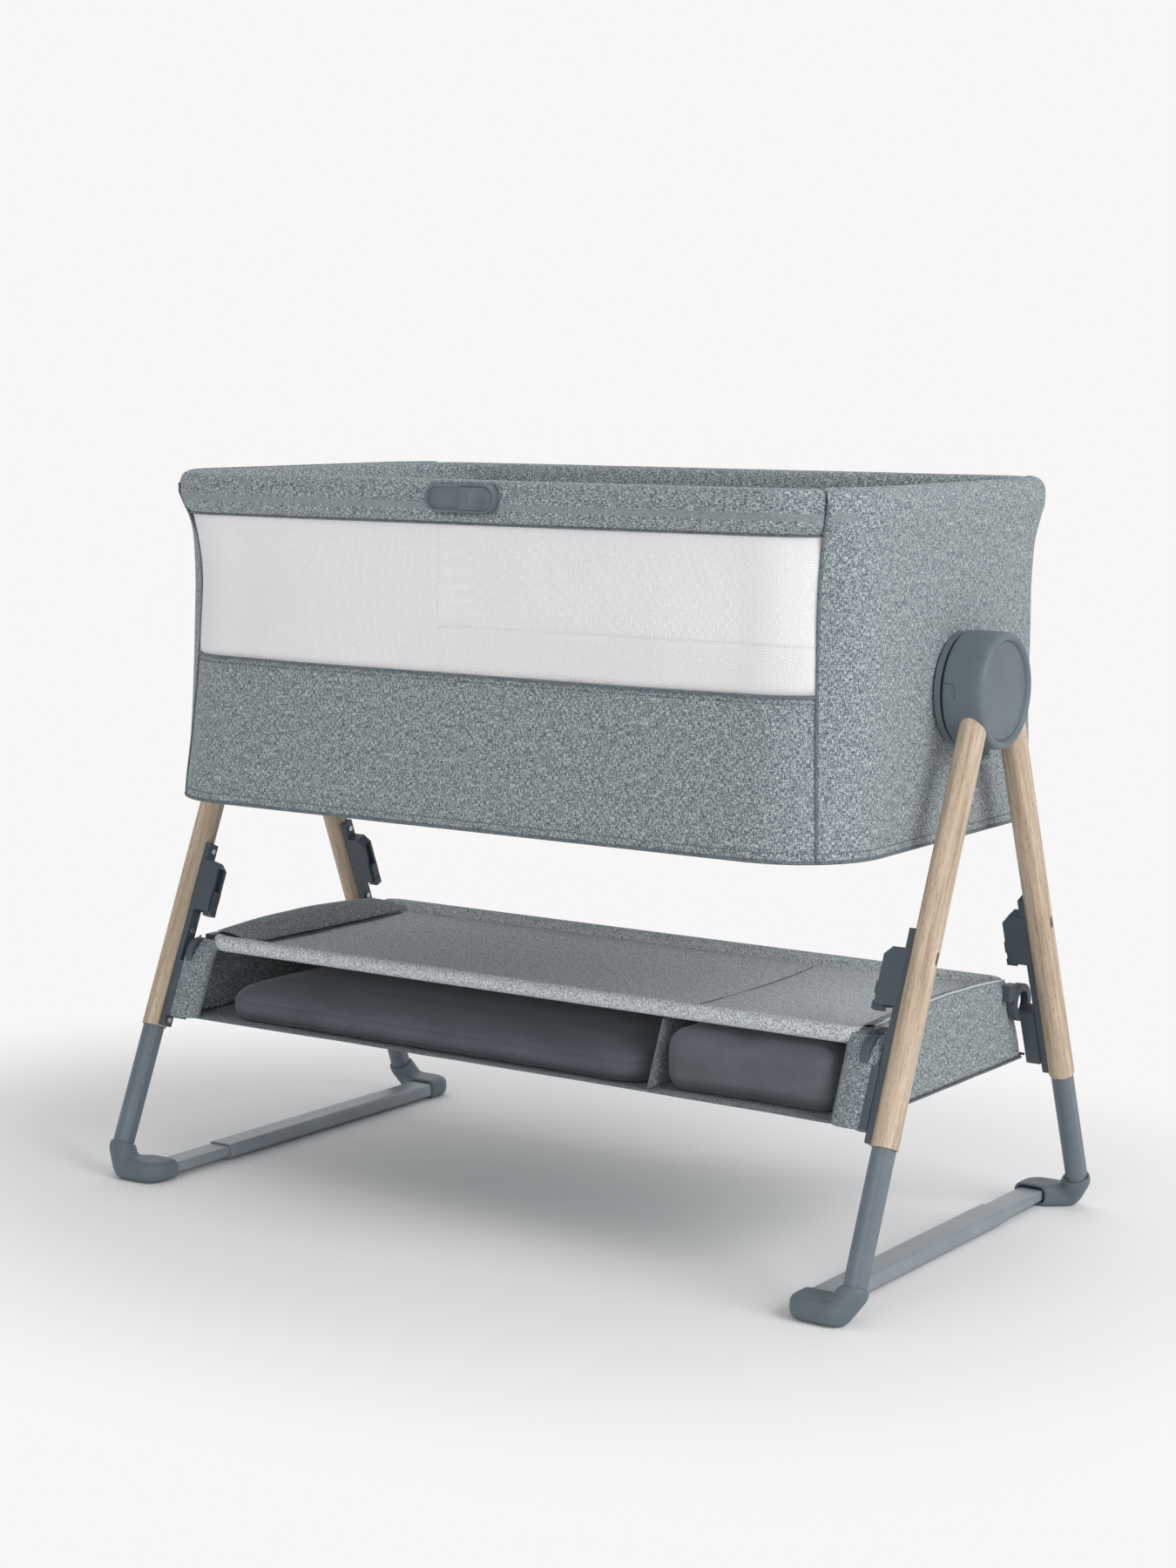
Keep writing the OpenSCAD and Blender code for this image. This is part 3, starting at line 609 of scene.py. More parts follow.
for side in LONG_SIDES:
    rows = hem_rows(STATIONS[side], TUB_Z, SEAM_Z, WALL_R, (SEAM_Z, TUB_Z))
    cloth_sheet(f"tub_cloth_{side}", rows, 2.6, CLOTH, "cradle", [f"{side}_panel"])
for side, body, start in (("rear", "cradle", 1), ("front", "drop_side", 2.5)):
    rows = wall_rows(STATIONS[side], levels(SEAM_Z + start, BAND_Z + 6, 10), WALL_R - .3, .8)
    cloth_sheet(f"net_{side}", rows, .5, NET, body, [f"{side}_mesh"], smooth=False)


def end_flare(z):
    """How far the end cloth spreads over the padded rim."""
    return 6.3 * soft_step(752, 806, z)


def end_rows(sts):
    """The end cloth from its hem up the wall and over the top of the padded rim."""
    rows = hem_rows(sts, TUB_Z, 740, WALL_R, (TUB_Z,))
    rows += wall_rows(sts, levels(750, 806, 7), WALL_R, .6, (), end_flare)
    for z, inset in ((813, .3), (818.5, 2.4), (822.8, 6.0), (825.6, 11), (826.2, 16)):
        r = RIM_R - inset
        uneven = [.3 * wob(st[0] + st[2] * r, st[1] + st[3] * r, z, 40) for st in sts]
        rows.append([wall_point(st, z, r, e) for st, e in zip(sts, uneven)])
    return rows


for side in ("right", "left"):
    rows = end_rows(STATIONS[side])
    cloth_sheet(f"end_cloth_{side}", rows, 2.4, CLOTH, "cradle", [f"{side}_end_panel"])


# Padded bands round the rim and round the drop-side rail
def band(name, a0, a1, body, replaces, catch=False):
    """Stuffed band round the outline between two angles, with a recess for the catch if it has one."""
    sts = stations(a0, a1, 8.0, 4.0)
    m = 28
    half_high, half_deep, middle_r = 23.3, 15.8, 91
    catch_x, catch_z, catch_high, catch_r = 43, 806, 13.6, 99.3
    rows = []
    for k in range(m + 1):
        w = 2 * math.pi * k / m
        cw, sw = math.cos(w), math.sin(w)
        row = []
        for st in sts:
            zz = RIM_Z + half_high * math.copysign(abs(sw) ** .72, sw)
            r = middle_r + half_deep * math.copysign(abs(cw) ** .62, cw)
            drop = max(0.0, (RIM_Z - zz) / 23.5)
            if cw > 0:
                r -= (1.5 + 6.5 * st[4]) * drop ** 1.4
            x, y = st[0] + st[2] * r, st[1] + st[3] * r
            e = .55 * wob(x, y, zz, 48) + .35 * wob(x, y, zz, 14)
            r += e * (1 if cw > 0 else .6)
            if catch and cw > 0 and abs(x) < catch_x and abs(zz - catch_z) < catch_high:
                r = min(r, catch_r)
            row.append((st[0] + st[2] * r, st[1] + st[3] * r, zz + .4 * e + hang(y, zz)))
        rows.append(row)
    rows = [list(c) for c in zip(*rows)]          # one ring per station
    ob = grid(name, [ring[:-1] for ring in rows], wrap=True)
    bm = bmesh.new()
    bm.from_mesh(ob.data)
    bm.verts.ensure_lookup_table()
    ends = [[bm.verts[first * m + k] for k in range(m)] for first in (0, len(rows) - 1)]
    for first, ring in enumerate(ends):
        mid = bm.verts.new(sum((v.co for v in ring), Vector()) / m)
        for k in range(m):
            a, b = ring[k], ring[(k + 1) % m]
            bm.faces.new((a, b, mid) if first else (b, a, mid))
    bmesh.ops.recalc_face_normals(bm, faces=bm.faces)
    bm.to_mesh(ob.data)
    bm.free()
    subdivide(ob)
    finish_piece(ob, CLOTH, body, replaces)


band("rim_band_padded", -90 + SEAM_A + .4, 270 - SEAM_A - .4, "cradle", ["rim_sleeve"])
band("rail_band_padded", *FRONT, "drop_side", ["rail_sleeve"], catch=True)


# Piping on the seams, rows of stitches beside them, and dark cords of painted shade under the padded bands
def seam_line(sts, z, r=WALL_R, out=0.0):
    return [wall_point(st, z, r, out) for st in sts]


def seam_pairs(sts, z, out):
    return [(wall_point(st, z, WALL_R, out), (st[2], st[3], 0)) for st in sts]


for side in LONG_SIDES:
    tube(f"net_piping_{side}", seam_line(STATIONS[side], SEAM_Z + .2, WALL_R, .1), 1.7, THREAD, "cradle")
for side, sts in STATIONS.items():
    tube(f"hem_piping_{side}", seam_line(sts, TUB_Z + 2.2, WALL_R, -.2), 1.9, THREAD, "cradle")
for k, a in enumerate((270 - SEAM_A, 270 + SEAM_A, 90 - SEAM_A, 90 + SEAM_A)):
    st = stations(a, a + .01)[0]
    up = [wall_point(st, z, WALL_R + end_flare(z), .2) for z in levels(TUB_Z + 2, 812, 10)]
    tube(f"corner_piping_{k}", up, 1.4, THREAD, "cradle")
lines = [seam_pairs(STATIONS[side], SEAM_Z - 6, .5) for side in LONG_SIDES]
lines += [seam_pairs(sts, TUB_Z + 11, .6) for sts in STATIONS.values()]
stitches("tub_stitches", lines, THREAD, "cradle")
# Dark cord along the lower edge of each padded band: painted shade where the band overhangs the net.
for name, side, body in (("rail", "front", "drop_side"), ("rim", "rear", "cradle")):
    edge = seam_line(STATIONS[side], BAND_Z + 2, WALL_R + 1.3, .2)
    tube(f"{name}_hem_piping", edge, 1.3, THREAD, body)

# Pale lining inside the walls, and the underside cloth
for side, ang in (("right", RIGHT), ("left", LEFT)):
    rows = []
    for z in levels(538, 781, 9):
        r = 80.5 + .5 * math.sin(z / 19.0)
        rows.append([(s[0] + s[2] * r, s[1] + s[3] * r, z + hang(s[1], z)) for s in stations(*ang, 9, 5)])
    cloth_sheet(f"lining_{side}", rows[::-1], 1.2, PALE, "cradle",
                smooth=False)
for side in LONG_SIDES:
    rows = [seam_line(STATIONS[side], z, WALL_R - 4.4) for z in levels(540, SEAM_Z - 2, 10)]
    cloth_sheet(f"lining_{side}", rows, 1.0, PALE, "cradle",
                smooth=False)


def plate_rows(z, sag, margin):
    """A flat cloth over a rounded rectangle, as rings from the middle outwards."""
    sts = stations(0, 359.999, 12.0, 6.0)[:-1]
    rows = []
    for t in (.02, .2, .4, .6, .75, .87, .95, 1.0):
        ring = []
        for st in sts:
            r = WALL_R - margin
            x, y = (st[0] + st[2] * r) * t, (st[1] + st[3] * r) * t
            ring.append((x, y, z + hang(y, z) + sag * (1 - t * t) + .8 * wob(x, y, 0, 70)))
        rows.append(ring)
    return rows


def underside(name, rows, replaces):
    """The cloth under the tub: rings of points, closed in the middle, with flat UVs."""
    ob = grid(name, rows, wrap=True)
    bm = bmesh.new()
    bm.from_mesh(ob.data)
    bm.verts.ensure_lookup_table()
    nc = len(rows[0])
    ring = [bm.verts[j] for j in range(nc)]
    bm.faces.new(ring)
    bm.normal_update()
    lay = bm.loops.layers.uv.active
    for f in bm.faces:
        for lp in f.loops:
            lp[lay].uv = (lp.vert.co.x, lp.vert.co.y)
    bm.to_mesh(ob.data)
    bm.free()
    thicken(ob, 2.0, 1.0)
    finish_piece(ob, CLOTH_DEEP, "cradle", replaces)


underside("underside_cloth", plate_rows(TUB_Z + 1.6, sag=-1.0, margin=6.0), ["floor_cloth"])


# ---------------------------------------------------------------- stuffed pieces, by cloth simulation
# A profile gives, for a piece's height, how far each level is set in from the outline
def rounded(edge):
    """The same rounding at the top and bottom edge."""
    near = edge * .3
    return lambda h: [(0, edge), (near, near), (edge, 0), (h - edge, 0), (h - near, near), (h, edge)]


def pillow(h):
    """Flat underneath, with a low edge and a top that rises towards the middle."""
    side = [(0, 8), (3, 2.5), (8, 0), (22, 0), (28, 3), (32, 9)]
    return side + [(h - 12, 26), (h - 7, 50), (h - 3, 85), (h, 130)]


def block(name, hx, hy, cx, cy, z0, z1, corner, edge):
    """Closed rounded block, as nested rings, to be inflated."""
    prof = [(z0 + z, inset) for z, inset in edge(z1 - z0)]
    sts = []
    for q in range(4):
        sx, sy = (1, 1, -1, -1)[q], (1, -1, -1, 1)[q]
        for w in span(math.pi / 2 * (1 - q), -math.pi / 2 * q, 8):
            sts.append((sx * (hx - corner), sy * (hy - corner), math.cos(w), math.sin(w)))
    verts, faces = [], []
    for z, inset in prof:
        for s in sts:
            r = max(0.0, corner - inset)
            fx = (hx - max(corner, inset)) / (hx - corner)
            fy = (hy - max(corner, inset)) / (hy - corner)
            verts.append(((cx + s[0] * fx + s[2] * r) * MM, (cy + s[1] * fy + s[3] * r) * MM, z * MM))
    n = len(sts)
    for i in range(len(prof) - 1):
        for j in range(n):
            k = (j + 1) % n
            faces.append((i * n + j, (i + 1) * n + j, (i + 1) * n + k, i * n + k))
    faces.append(tuple(range(n)))
    faces.append(tuple((len(prof) - 1) * n + j for j in range(n))[::-1])
    ob = add_mesh(name, verts, faces)
    face_outwards(ob)
    return ob


def bake_mesh(ob):
    """Replaces a mesh by what its modifiers make of it."""
    bpy.context.view_layer.update()
    dg = bpy.context.evaluated_depsgraph_get()
    me = bpy.data.meshes.new_from_object(ob.evaluated_get(dg))
    ob.modifiers.clear()
    ob.data = me


def remesh(ob, voxel):
    r = ob.modifiers.new("remesh", "REMESH")
    r.mode, r.voxel_size = "VOXEL", voxel * MM


def points(ob):
    co = np.zeros(len(ob.data.vertices) * 3, np.float32)
    ob.data.vertices.foreach_get("co", co)
    return co.reshape(-1, 3).astype(float)


def set_points(ob, co):
    ob.data.vertices.foreach_set("co", co.astype(np.float32).ravel())
    ob.data.update()


def puff(ob, voxel, pressure, cap, floor_z):
    """Inflates a piece as cloth, and lets no point move more than about cap mm or go through its floor."""
    frames = 20
    remesh(ob, voxel)
    bake_mesh(ob)
    rest = points(ob)
    c = ob.modifiers.new("cloth", "CLOTH")
    s = c.settings
    s.use_pressure, s.uniform_pressure_force = True, pressure
    s.effector_weights.gravity = 0.0
    s.quality, s.mass = 5, .3
    s.tension_stiffness = s.compression_stiffness = 15
    s.shear_stiffness, s.bending_stiffness = 5, .5
    c.collision_settings.use_collision = False
    c.point_cache.frame_start, c.point_cache.frame_end = 1, frames
    for f in range(1, frames + 1):
        bpy.context.scene.frame_set(f)
    dg = bpy.context.evaluated_depsgraph_get()
    ev = ob.evaluated_get(dg)
    now = np.array([v.co for v in ev.data.vertices], float)
    ob.modifiers.clear()
    d = now - rest
    size = np.linalg.norm(d, axis=1, keepdims=True)
    d *= (cap * MM * np.tanh(size / (cap * MM))) / np.maximum(size, 1e-9)
    moved = rest + d
    moved[:, 2] = np.maximum(moved[:, 2], floor_z * MM + np.minimum(0, moved[:, 2] - floor_z * MM) * .02)
    set_points(ob, moved)
    bpy.context.scene.frame_set(1)
    subdivide(ob)


def loop_on(ob, cx, cy, hx, hy, corner, z, out):
    """A closed line round a stuffed piece at one height, laid on its surface, with its normals."""
    z -= DROP
    reach = 60
    tree = BVHTree.FromObject(ob, bpy.context.evaluated_depsgraph_get())
    line = []

    def lay(x, y, n):
        hit = tree.ray_cast(Vector((x, y, z)) * MM, -n, .2)[0]
        if hit is not None:
            line.append((hit / MM + n * out + Vector((0, 0, DROP)), n))

    for q in range(4):
        sx, sy = (1, -1, -1, 1)[q], (1, 1, -1, -1)[q]
        for i in range(8):
            w = math.radians(q * 90 + i * 90 / 7)
            n = Vector((math.cos(w), math.sin(w), 0))
            out_x, out_y = n.x * (corner + reach), n.y * (corner + reach)
            lay(cx + sx * (hx - corner) + out_x, cy + sy * (hy - corner) + out_y, n)
        n = Vector(((0, 1, 0), (-1, 0, 0), (0, -1, 0), (1, 0, 0))[q])
        steps = 12 if n.x else 24
        for i in range(1, steps):
            t = 1 - 2 * i / steps
            if n.x:
                lay(cx + n.x * (hx + reach), cy - n.x * (hy - corner) * t, n)
            else:
                lay(cx + n.y * (hx - corner) * t, cy + n.y * (hy + reach), n)
    return line


def mm_box(name):
    """Corners of a CAD node's box in mm."""
    lo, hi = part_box(name)
    return tuple(v / MM for v in lo), tuple(v / MM for v in hi)


def stuffed(node_name, corner, profile, shrink, voxel, pressure, cap, mat, body):
    """A stuffed piece in a CAD node's box: drawn smaller by shrink, then inflated."""
    (x0, y0, z0), (x1, y1, z1) = mm_box(node_name)
    cx, cy, hx, hy = (x0 + x1) / 2, (y0 + y1) / 2, (x1 - x0) / 2 - shrink, (y1 - y0) / 2 - shrink
    ob = block(f"{node_name}_soft", hx, hy, cx, cy, z0 + .4, z1 - shrink, corner, profile)
    puff(ob, voxel, pressure, cap, z0)
    finish_piece(ob, mat, body, [node_name])
    return ob, cx, cy, hx, hy, corner


pad = stuffed("storage_pad", 34, pillow, 1.0, 6.5, 3.0, 5, PAD, "stand")
stuffed("storage_roll", 20, rounded(15), 1.5, 6.0, 3.5, 5, ROLL, "stand")
bed = stuffed("mattress", 76, rounded(10), 2.5, 8.0, 2.0, 4, QUILT, "cradle")

tube("pad_piping", [p for p, _ in loop_on(*pad, 219, .3)], 1.1, PAD, "stand", closed=True)
line = [(p + Vector((0, 0, -4.5)), n) for p, n in loop_on(*pad, 214.5, .1)]
stitches("pad_stitches", [line], THREAD, "stand", pitch=6, length=3.4, wide=.8)
for z in (503, 525):
    line = [p for p, _ in loop_on(*bed, z, .4)]
    tube(f"mattress_piping_{z}", line, 1.6, QUILT, "cradle", closed=True)


# ---------------------------------------------------------------- shelf cloth
def tube_y(x):
    """Half depth of the tube ring's centre line at x."""
    a = abs(x) - (SHELF_X - SHELF_C)
    if a <= 0:
        return SHELF_Y
    return SHELF_Y - SHELF_C + math.sqrt(max(0, SHELF_C ** 2 - a * a))


def tube_x(y):
    """Half length of the tube ring's centre line at y."""
    a = abs(y) - (SHELF_Y - SHELF_C)
    if a <= 0:
        return SHELF_X
    return SHELF_X - SHELF_C + math.sqrt(max(0, SHELF_C ** 2 - a * a))


WRAP = 9.6                     # radius of the cloth round the shelf's tubes
AROUND = [-75, -45, -15, 10, 35, 60, 85, 110, 135, 160, 180, 194]
DECK_X = 425
DECK_COLS = span(-DECK_X, DECK_X, 96)


def deck_z(x, y):
    """Height of the shelf cloth between the tubes: tight along the tubes, sagging between them."""
    t = min(1.0, abs(y) / (tube_y(x) - WRAP))
    return SHELF_Z - 2.4 - 5.4 * (1 - t ** 2.6) * (1 - .9 * (abs(x) / DECK_X) ** 5)


def deck_round(a, side, seed):
    """Row of the deck at angle a round the front (side -1) or rear (side 1) tube."""
    w = math.radians(a)
    z = SHELF_Z + WRAP * math.sin(w)
    return [(x, side * (tube_y(x) + WRAP * math.cos(w)) + .3 * wob(x, a, seed, 22), z) for x in DECK_COLS]


def deck_flat(t):
    """Row of the deck between the tubes, with a crease along the seam above the divider."""
    row = []
    for x in DECK_COLS:
        y = t * (tube_y(x) - WRAP)
        crease = 1.3 * math.exp(-((x - DIVIDER_X) / 4) ** 2)
        row.append((x, y, deck_z(x, y) - crease + wob(x, y, 0, 60) * (1 - t ** 4)))
    return row


rows = [deck_round(a, -1, 0) for a in AROUND]
rows += [deck_flat(t) for t in span(-.985, .985, 34)]
rows += [deck_round(a, 1, 5) for a in AROUND[::-1]]
# The deck is drawn in the lightened cloth: painted light in place of the shade under the tub.
cloth_sheet("deck_cloth", rows, 2.2, CLOTH_DECK_PAINTED_LIGHT, "stand", ["shelf_deck"])
seam = [(DIVIDER_X, y, deck_z(DIVIDER_X, y) - .6) for y in range(-152, 153, 8)]
tube("deck_seam", seam, .9, THREAD, "stand")


def half_end(z, front):
    """Half depth of an end cloth, which reaches a little further in front."""
    h = 167 + (262 - z) * .405
    return h + (6 if front else 0) * soft_step(275, 262, z)


# Flap from the deck up to the end tube, as (distance from the tube, height over it): the left flap is sewn
# well inside the tube and the right one just behind it. OVER goes on over the tube.
FLAP = {"left": [(-43, 0), (-41, 3.0), (-34, 5.4), (-24, 7.6), (-14, 9.4), (-6, 10.4)],
        "right": [(-18, 0), (-16, 3.5), (-12, 7.0), (-6, 9.8)]}
OVER = [(0, 10.6), (4.8, 9.0), (8.0, 5.6), (9.4, 0)]


def flap_row(s, inner, dx, dz):
    row = []
    for t in span(-1, 1, 40):
        y = t * (150 + (8 if dx > 5 else 0))
        x = tube_x(y) + dx
        arch = 6.5 * (1 - t * t) * soft_step(inner + 3, -4, dx) * soft_step(12, 5, dx)
        z = SHELF_Z + dz + arch
        if dx < inner + 23:
            z = max(z, deck_z(x, y) + 1.6 + .05 * (dx - inner))
        row.append((s * x, y, z + .5 * wob(s * 400, y, dz, 30)))
    return row


def end_row(s, z):
    row = []
    for t in span(-1, 1, 40):
        y = t * half_end(z, t < 0)
        belly = 2.4 * math.sin(math.pi * (SHELF_Z - z) / 80) * (1 - t * t)
        x = 438.2 - belly - 5.0 * soft_step(.86, 1.0, abs(t)) * soft_step(240, SHELF_Z, z)
        row.append((s * (x + .7 * wob(s * 400, y, z, 38)), y, z))
    return row


for side, s in (("left", -1), ("right", 1)):
    flap = FLAP[side]
    inner = flap[0][0]
    rows = [flap_row(s, inner, dx, dz) for dx, dz in flap + OVER]
    rows += [end_row(s, z) for z in levels(270, 194.8, 7)]
    if s > 0:
        rows = [r[::-1] for r in rows]
    cloth_sheet(f"shelf_end_cloth_{side}", rows, 1.8, CLOTH, "stand", ["shelf_ends"])
    sewn = inner + .6
    seam = [(s * (tube_x(y) + sewn), y, deck_z(tube_x(y) + sewn, y) + 1.2) for y in range(-146, 147, 8)]
    tube(f"shelf_end_seam_{side}", seam, 1.1, THREAD, "stand")
    # A cord of the lightened deck cloth along the fold over the end tube: painted highlight on the fold.
    fold = [Vector(p) + Vector((s * .3, 0, .5)) for p in rows[len(flap) + 1]]
    tube(f"shelf_end_fold_highlight_{side}", fold, 1.2, CLOTH_DECK_PAINTED_LIGHT, "stand")
    hem = [Vector(p) + Vector((-s * .8, 0, .4)) for p in rows[-1]]
    tube(f"shelf_end_hem_{side}", hem, 1.3, THREAD, "stand")

# Floor of the box, sagging in the middle and turned up at its front and rear edge
FLOOR_X = 436
rows = []
for t in span(-1, 1, 40):
    row = []
    for x in span(-FLOOR_X, FLOOR_X, 60):
        y = t * 205.5
        z = BOX_Z - 1.1 - 1.6 * (1 - (x / FLOOR_X) ** 2) * (1 - t ** 4) + .5 * wob(x, y, 0, 60)
        z += 2.4 * soft_step(.965, 1.0, abs(t)) * math.cos(x / FLOOR_X * 1.2)
        row.append((x, y, z))
    rows.append(row)
cloth_sheet("shelf_floor_cloth", rows, 2.4, CLOTH_DEEP, "stand", ["shelf_floor"])
for side, row, dy in (("front", rows[0], -.6), ("rear", rows[-1], .6)):
    tube(f"floor_hem_{side}", [(x, y + dy, z - .6) for x, y, z in row], 1.5, THREAD, "stand")

rows = []
for z in levels(BOX_Z + .5, 272, 8):
    row = []
    for x in span(418, -418, 60):
        belly = 2.5 * math.sin(math.pi * (z - BOX_Z) / 76) + .7 * wob(x, 0, z, 45)
        row.append((x, lean_y(z) - belly, z))
    rows.append(row)
cloth_sheet("shelf_back_cloth", rows, 2.0, CLOTH_DEEP, "stand", ["shelf_back"])

rows = []
for z in levels(BOX_Z, 268.5, 9):
    row = []
    for t in span(0, 1, 30):
        y = -(lean_y(z) - 3) + t * (2 * lean_y(z) - 12)
        row.append((DIVIDER_X + .6 + 1.2 * wob(0, y, z, 30), y, z))
    rows.append(row)
cloth_sheet("shelf_divider_cloth", rows, 1.8, CLOTH_DEEP, "stand", ["shelf_divider"])
edge = [(DIVIDER_X + .6, r[0][1] - .5, r[0][2]) for r in rows]
tube("divider_edge", edge, 1.5, THREAD, "stand")

# Cloth corners that cover the front brackets, as (x, distance in front of the box)
CORNER_COVER = [(416, 1.0), (417.5, 5), (421, 9.5), (427, 12), (436, 13), (445, 13), (451, 11.5),
                (455, 8), (456.6, 2.5), (456.8, -2)]
for side, s in (("left", -1), ("right", 1)):
    rows = []
    for z in levels(BOX_Z - 1, 284, 8):
        top = soft_step(262, 286, z)
        row = []
        for x, off in CORNER_COVER:
            y = -(lean_y(z) + off * (1 - .35 * top)) + top * (3 + max(0, (x - 430)) * .35)
            row.append((s * (x - 3 * top), y + .5 * wob(x * s, 0, z, 30), z))
        rows.append(row)
    if s < 0:
        rows = [r[::-1] for r in rows]
    cloth_sheet(f"shelf_corner_cloth_{side}", rows, 1.8, CLOTH_DEEP, "stand")
    edge = [r[0] if s > 0 else r[-1] for r in rows]
    tube(f"shelf_corner_edge_{side}", edge, 1.2, THREAD, "stand")


# ---------------------------------------------------------------- hub drums and caps
def lathe(name, prof, side, mat, replaces):
    """Piece turned about the hub's axis; the profile is (x, radius)."""
    steps = 96
    rows = []
    for x, r in prof:
        row = []
        for i in range(steps):
            w = 2 * math.pi * i / steps * side
            row.append((side * x, r * math.cos(w), HUB_Z + r * math.sin(w)))
        rows.append(row)
    ob = grid(name, rows, wrap=True)
    face_outwards(ob)
    subdivide(ob)
    finish_piece(ob, mat, "stand", replaces)


DRUM = [(450.2, 13), (450.0, 14), (450.0, 40), (450.0, 58.6), (450.2, 60.0), (451.2, 60.9),
        (453, HUB_R), (470, HUB_R), (486, HUB_R),
        (490.2, 60.7), (493.2, 59.6), (494.7, 57.8), (495, 56.2), (494.8, 54.6), (493.9, 53.0),
        (492.2, 51.9), (491.0, 51.4), (490.2, 51.2), (489.6, 50.0)]
CAP = [(488.5, 51.6), (490.0, 51.6), (490.9, 51.0), (491.3, 49.8), (491.35, 47), (491.5, 40), (491.8, 25),
       (492.0, 10), (492.05, .05)]
# Fine parting line on the drum above the front leg, as (x, angle), drawn as a dark cord: painted shade of the
# groove there
PARTING_SHADE = [(451.5, 171), (456, 171), (460, 171.5), (463, 173), (464.5, 176), (464.8, 180), (464.8, 186)]
for side, s in (("left", -1), ("right", 1)):
    lathe(f"hub_shell_{side}", DRUM, s, PLASTIC, [f"{side}_hub_drum"])
    lathe(f"hub_face_{side}", CAP, s, PLASTIC_CAP, [f"{side}_hub_cap"])
    line = []
    for x, a in PARTING_SHADE:
        w = math.radians(a)
        line.append((s * x, HUB_R * math.cos(w), HUB_Z + HUB_R * math.sin(w)))
    # Dark cord on the parting line: painted shade in the groove.
    tube(f"hub_parting_shade_{side}", line, .45, PLASTIC_DARK, "stand")


# ---------------------------------------------------------------- feet
def moulded(name, body):
    """Softly rounded copy of a CAD foot."""
    ob = bpy.data.objects.new(name + "_moulded", frame["nodes"][name].data.copy())
    bpy.context.scene.collection.objects.link(ob)
    remesh(ob, 2.2)
    sm = ob.modifiers.new("soften", "SMOOTH")
    sm.factor, sm.iterations = .5, 16
    bake_mesh(ob)
    finish_piece(ob, PLASTIC, body, [name])


for body, names in frame["record"]["behaviour"]["bodies"].items():
    for name in names:
        if name.endswith("_boot"):
            moulded(name, body)


# ---------------------------------------------------------------- studio
def area(name, where, size, power):
    """Round soft light, turned towards the middle of the bassinet."""
    target = Vector((0, 0, .4))
    light = bpy.data.lights.new(name, "AREA")
    light.shape, light.size, light.energy = "DISK", size, power
    ob = bpy.data.objects.new(name, light)
    bpy.context.scene.collection.objects.link(ob)
    ob.location = where
    ob.rotation_mode = "QUATERNION"
    ob.rotation_quaternion = (target - Vector(where)).to_track_quat("-Z", "Y")


area("key", (3.0, -0.3, 2.0), 2.2, 60)
area("top", (-0.3, 0.2, 3.2), 2.8, 17)
area("front", (0.9, -3.4, 1.0), 2.0, 25)

world = bpy.data.worlds.new("studio")
world.use_nodes = True
world.node_tree.nodes["Background"].inputs[0].default_value = (.97, .98, 1.0, 1)
world.node_tree.nodes["Background"].inputs[1].default_value = .42
bpy.context.scene.world = world
bpy.context.scene.view_settings.view_transform = "Standard"

# Camera in front and to the right: turn about Z, slope downwards, roll, then place and lens
TURN, DOWN, ROLL_ANGLE = math.radians(33.23), math.radians(8.06), math.radians(.96)
CAMERA_AT = (1.7304, -2.6657, .8622)
LENS, SENSOR, SHIFT = 65.32, 36.0, .0322


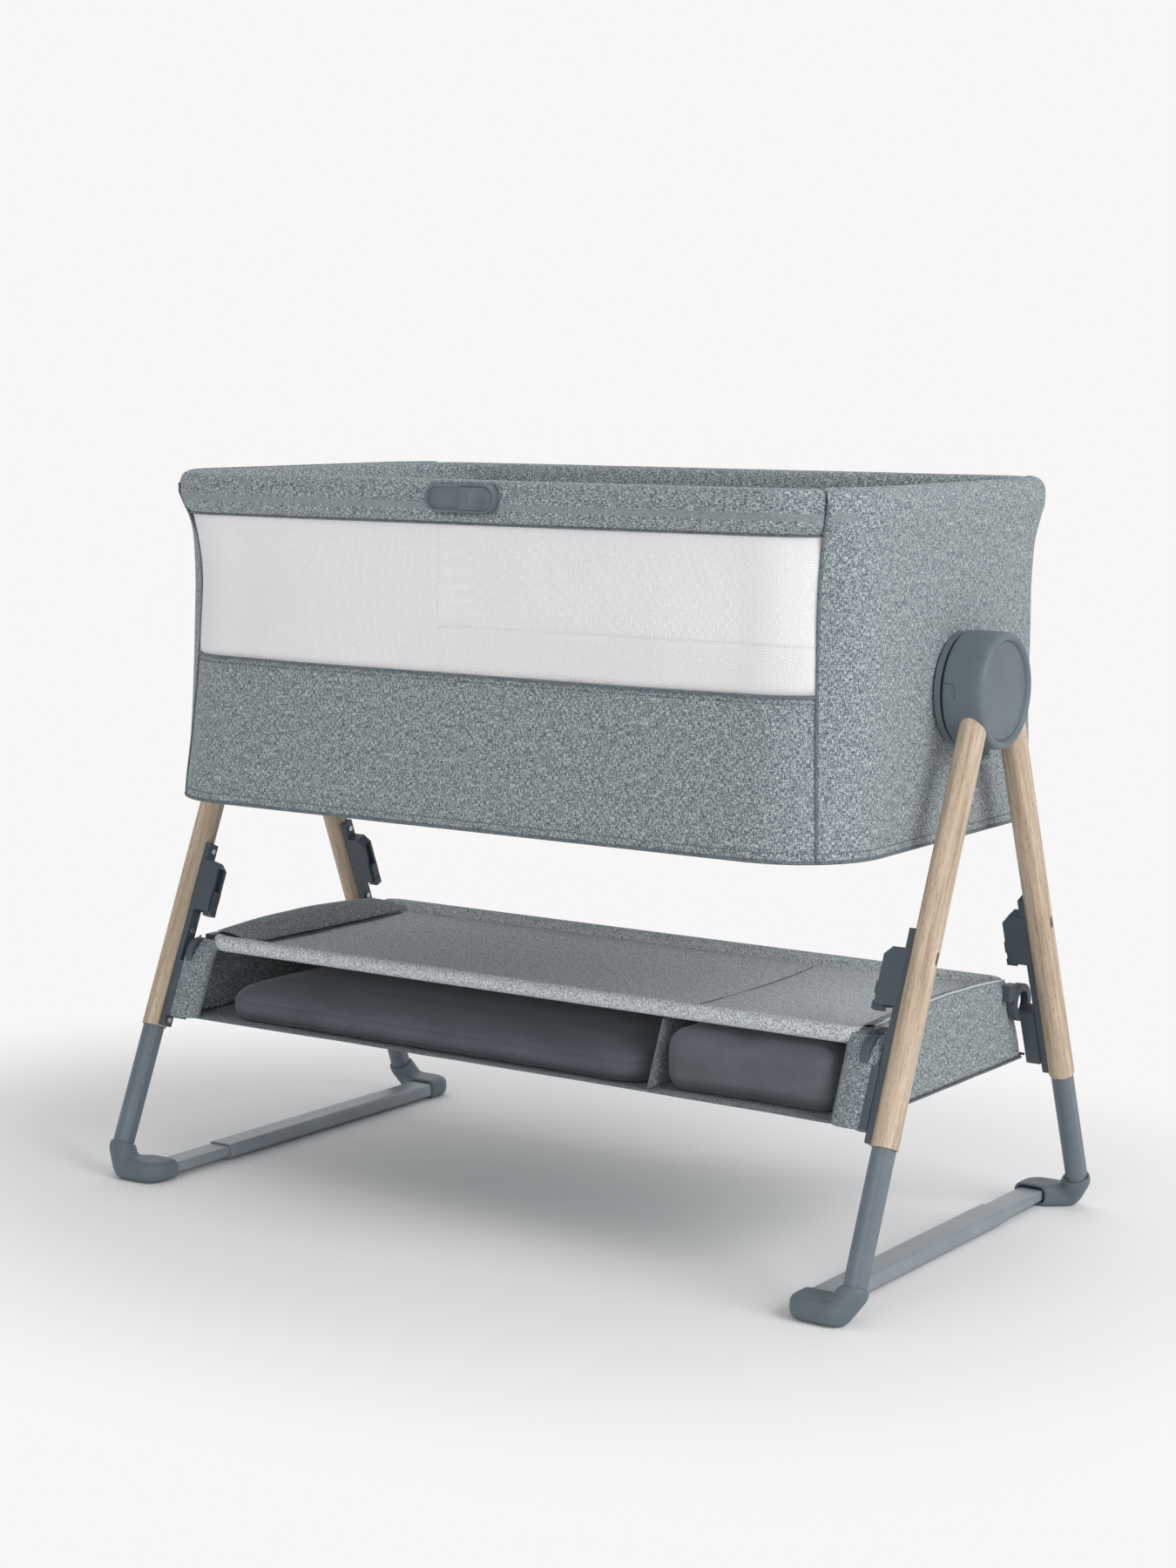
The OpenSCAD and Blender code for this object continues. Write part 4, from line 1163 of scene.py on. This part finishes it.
def paper():
    """Pale floor that turns into an evenly bright paper backdrop away from the object."""
    m, nt, b = shader("studio_floor")
    n = noise_tex(nt, coords(nt, False, (1.2, 1.2, 1.2)), 2.0, .5)
    nt.links.new(ramp(nt, n, [(.3, (.90, .90, .90, 1)), (.7, (.92, .92, .92, 1))]), b.inputs["Base Color"])
    b.inputs["Roughness"].default_value = .9
    b.inputs["Specular IOR Level"].default_value = .1
    oval = {0: coords(nt, False, (1, 1.35, 1))}
    far = node(nt, "ShaderNodeVectorMath", oval, operation="LENGTH").outputs["Value"]
    ins = {"Value": far, 1: .68, 2: 1.25, 3: 0.0, 4: 1.0}
    far = node(nt, "ShaderNodeMapRange", ins, interpolation_type="SMOOTHSTEP").outputs[0]
    glow = node(nt, "ShaderNodeEmission", {"Color": (.93, .93, .93, 1)}).outputs[0]
    mixed = node(nt, "ShaderNodeMixShader", {0: far, 1: b.outputs[0], 2: glow}).outputs[0]
    nt.links.new(mixed, nt.nodes["Material Output"].inputs[0])
    return m


def sweep():
    """Floor that bends up behind the object, square to the camera's turn."""
    bend_at, bend_r, half_wide = 3.0, 3, 9
    arc = [math.radians(a) for a in range(10, 91, 10)]
    prof = [(-6, 0), (bend_at, 0)]
    prof += [(bend_at + bend_r * math.sin(w), bend_r - bend_r * math.cos(w)) for w in arc] + [(6, 9)]
    away = Vector((-math.sin(TURN), math.cos(TURN), 0))
    across = Vector((away.y, -away.x, 0))
    verts = []
    for q, z in prof:
        for w in (-half_wide, half_wide):
            verts.append(tuple(away * q + across * w + Vector((0, 0, z - .0005))))
    faces = [(2 * k, 2 * k + 1, 2 * k + 3, 2 * k + 2) for k in range(len(prof) - 1)]
    ob = add_mesh("studio_sweep", verts, faces)
    for p in ob.data.polygons:
        p.use_smooth = True
    ob.data.materials.append(paper())


def camera():
    data = bpy.data.cameras.new("camera")
    data.lens, data.sensor_width, data.shift_y = LENS, SENSOR, SHIFT
    cam = bpy.data.objects.new("camera", data)
    bpy.context.scene.collection.objects.link(cam)
    fwd = Vector((-math.sin(TURN) * math.cos(DOWN), math.cos(TURN) * math.cos(DOWN), -math.sin(DOWN)))
    right = Vector((math.cos(TURN), math.sin(TURN), 0))
    up = right.cross(fwd)
    x = right * math.cos(ROLL_ANGLE) + up * math.sin(ROLL_ANGLE)
    y = up * math.cos(ROLL_ANGLE) - right * math.sin(ROLL_ANGLE)
    axes = Matrix((x, y, -fwd)).transposed()
    cam.matrix_world = Matrix.Translation(CAMERA_AT) @ axes.to_4x4()
    bpy.context.scene.camera = cam


sweep()
camera()
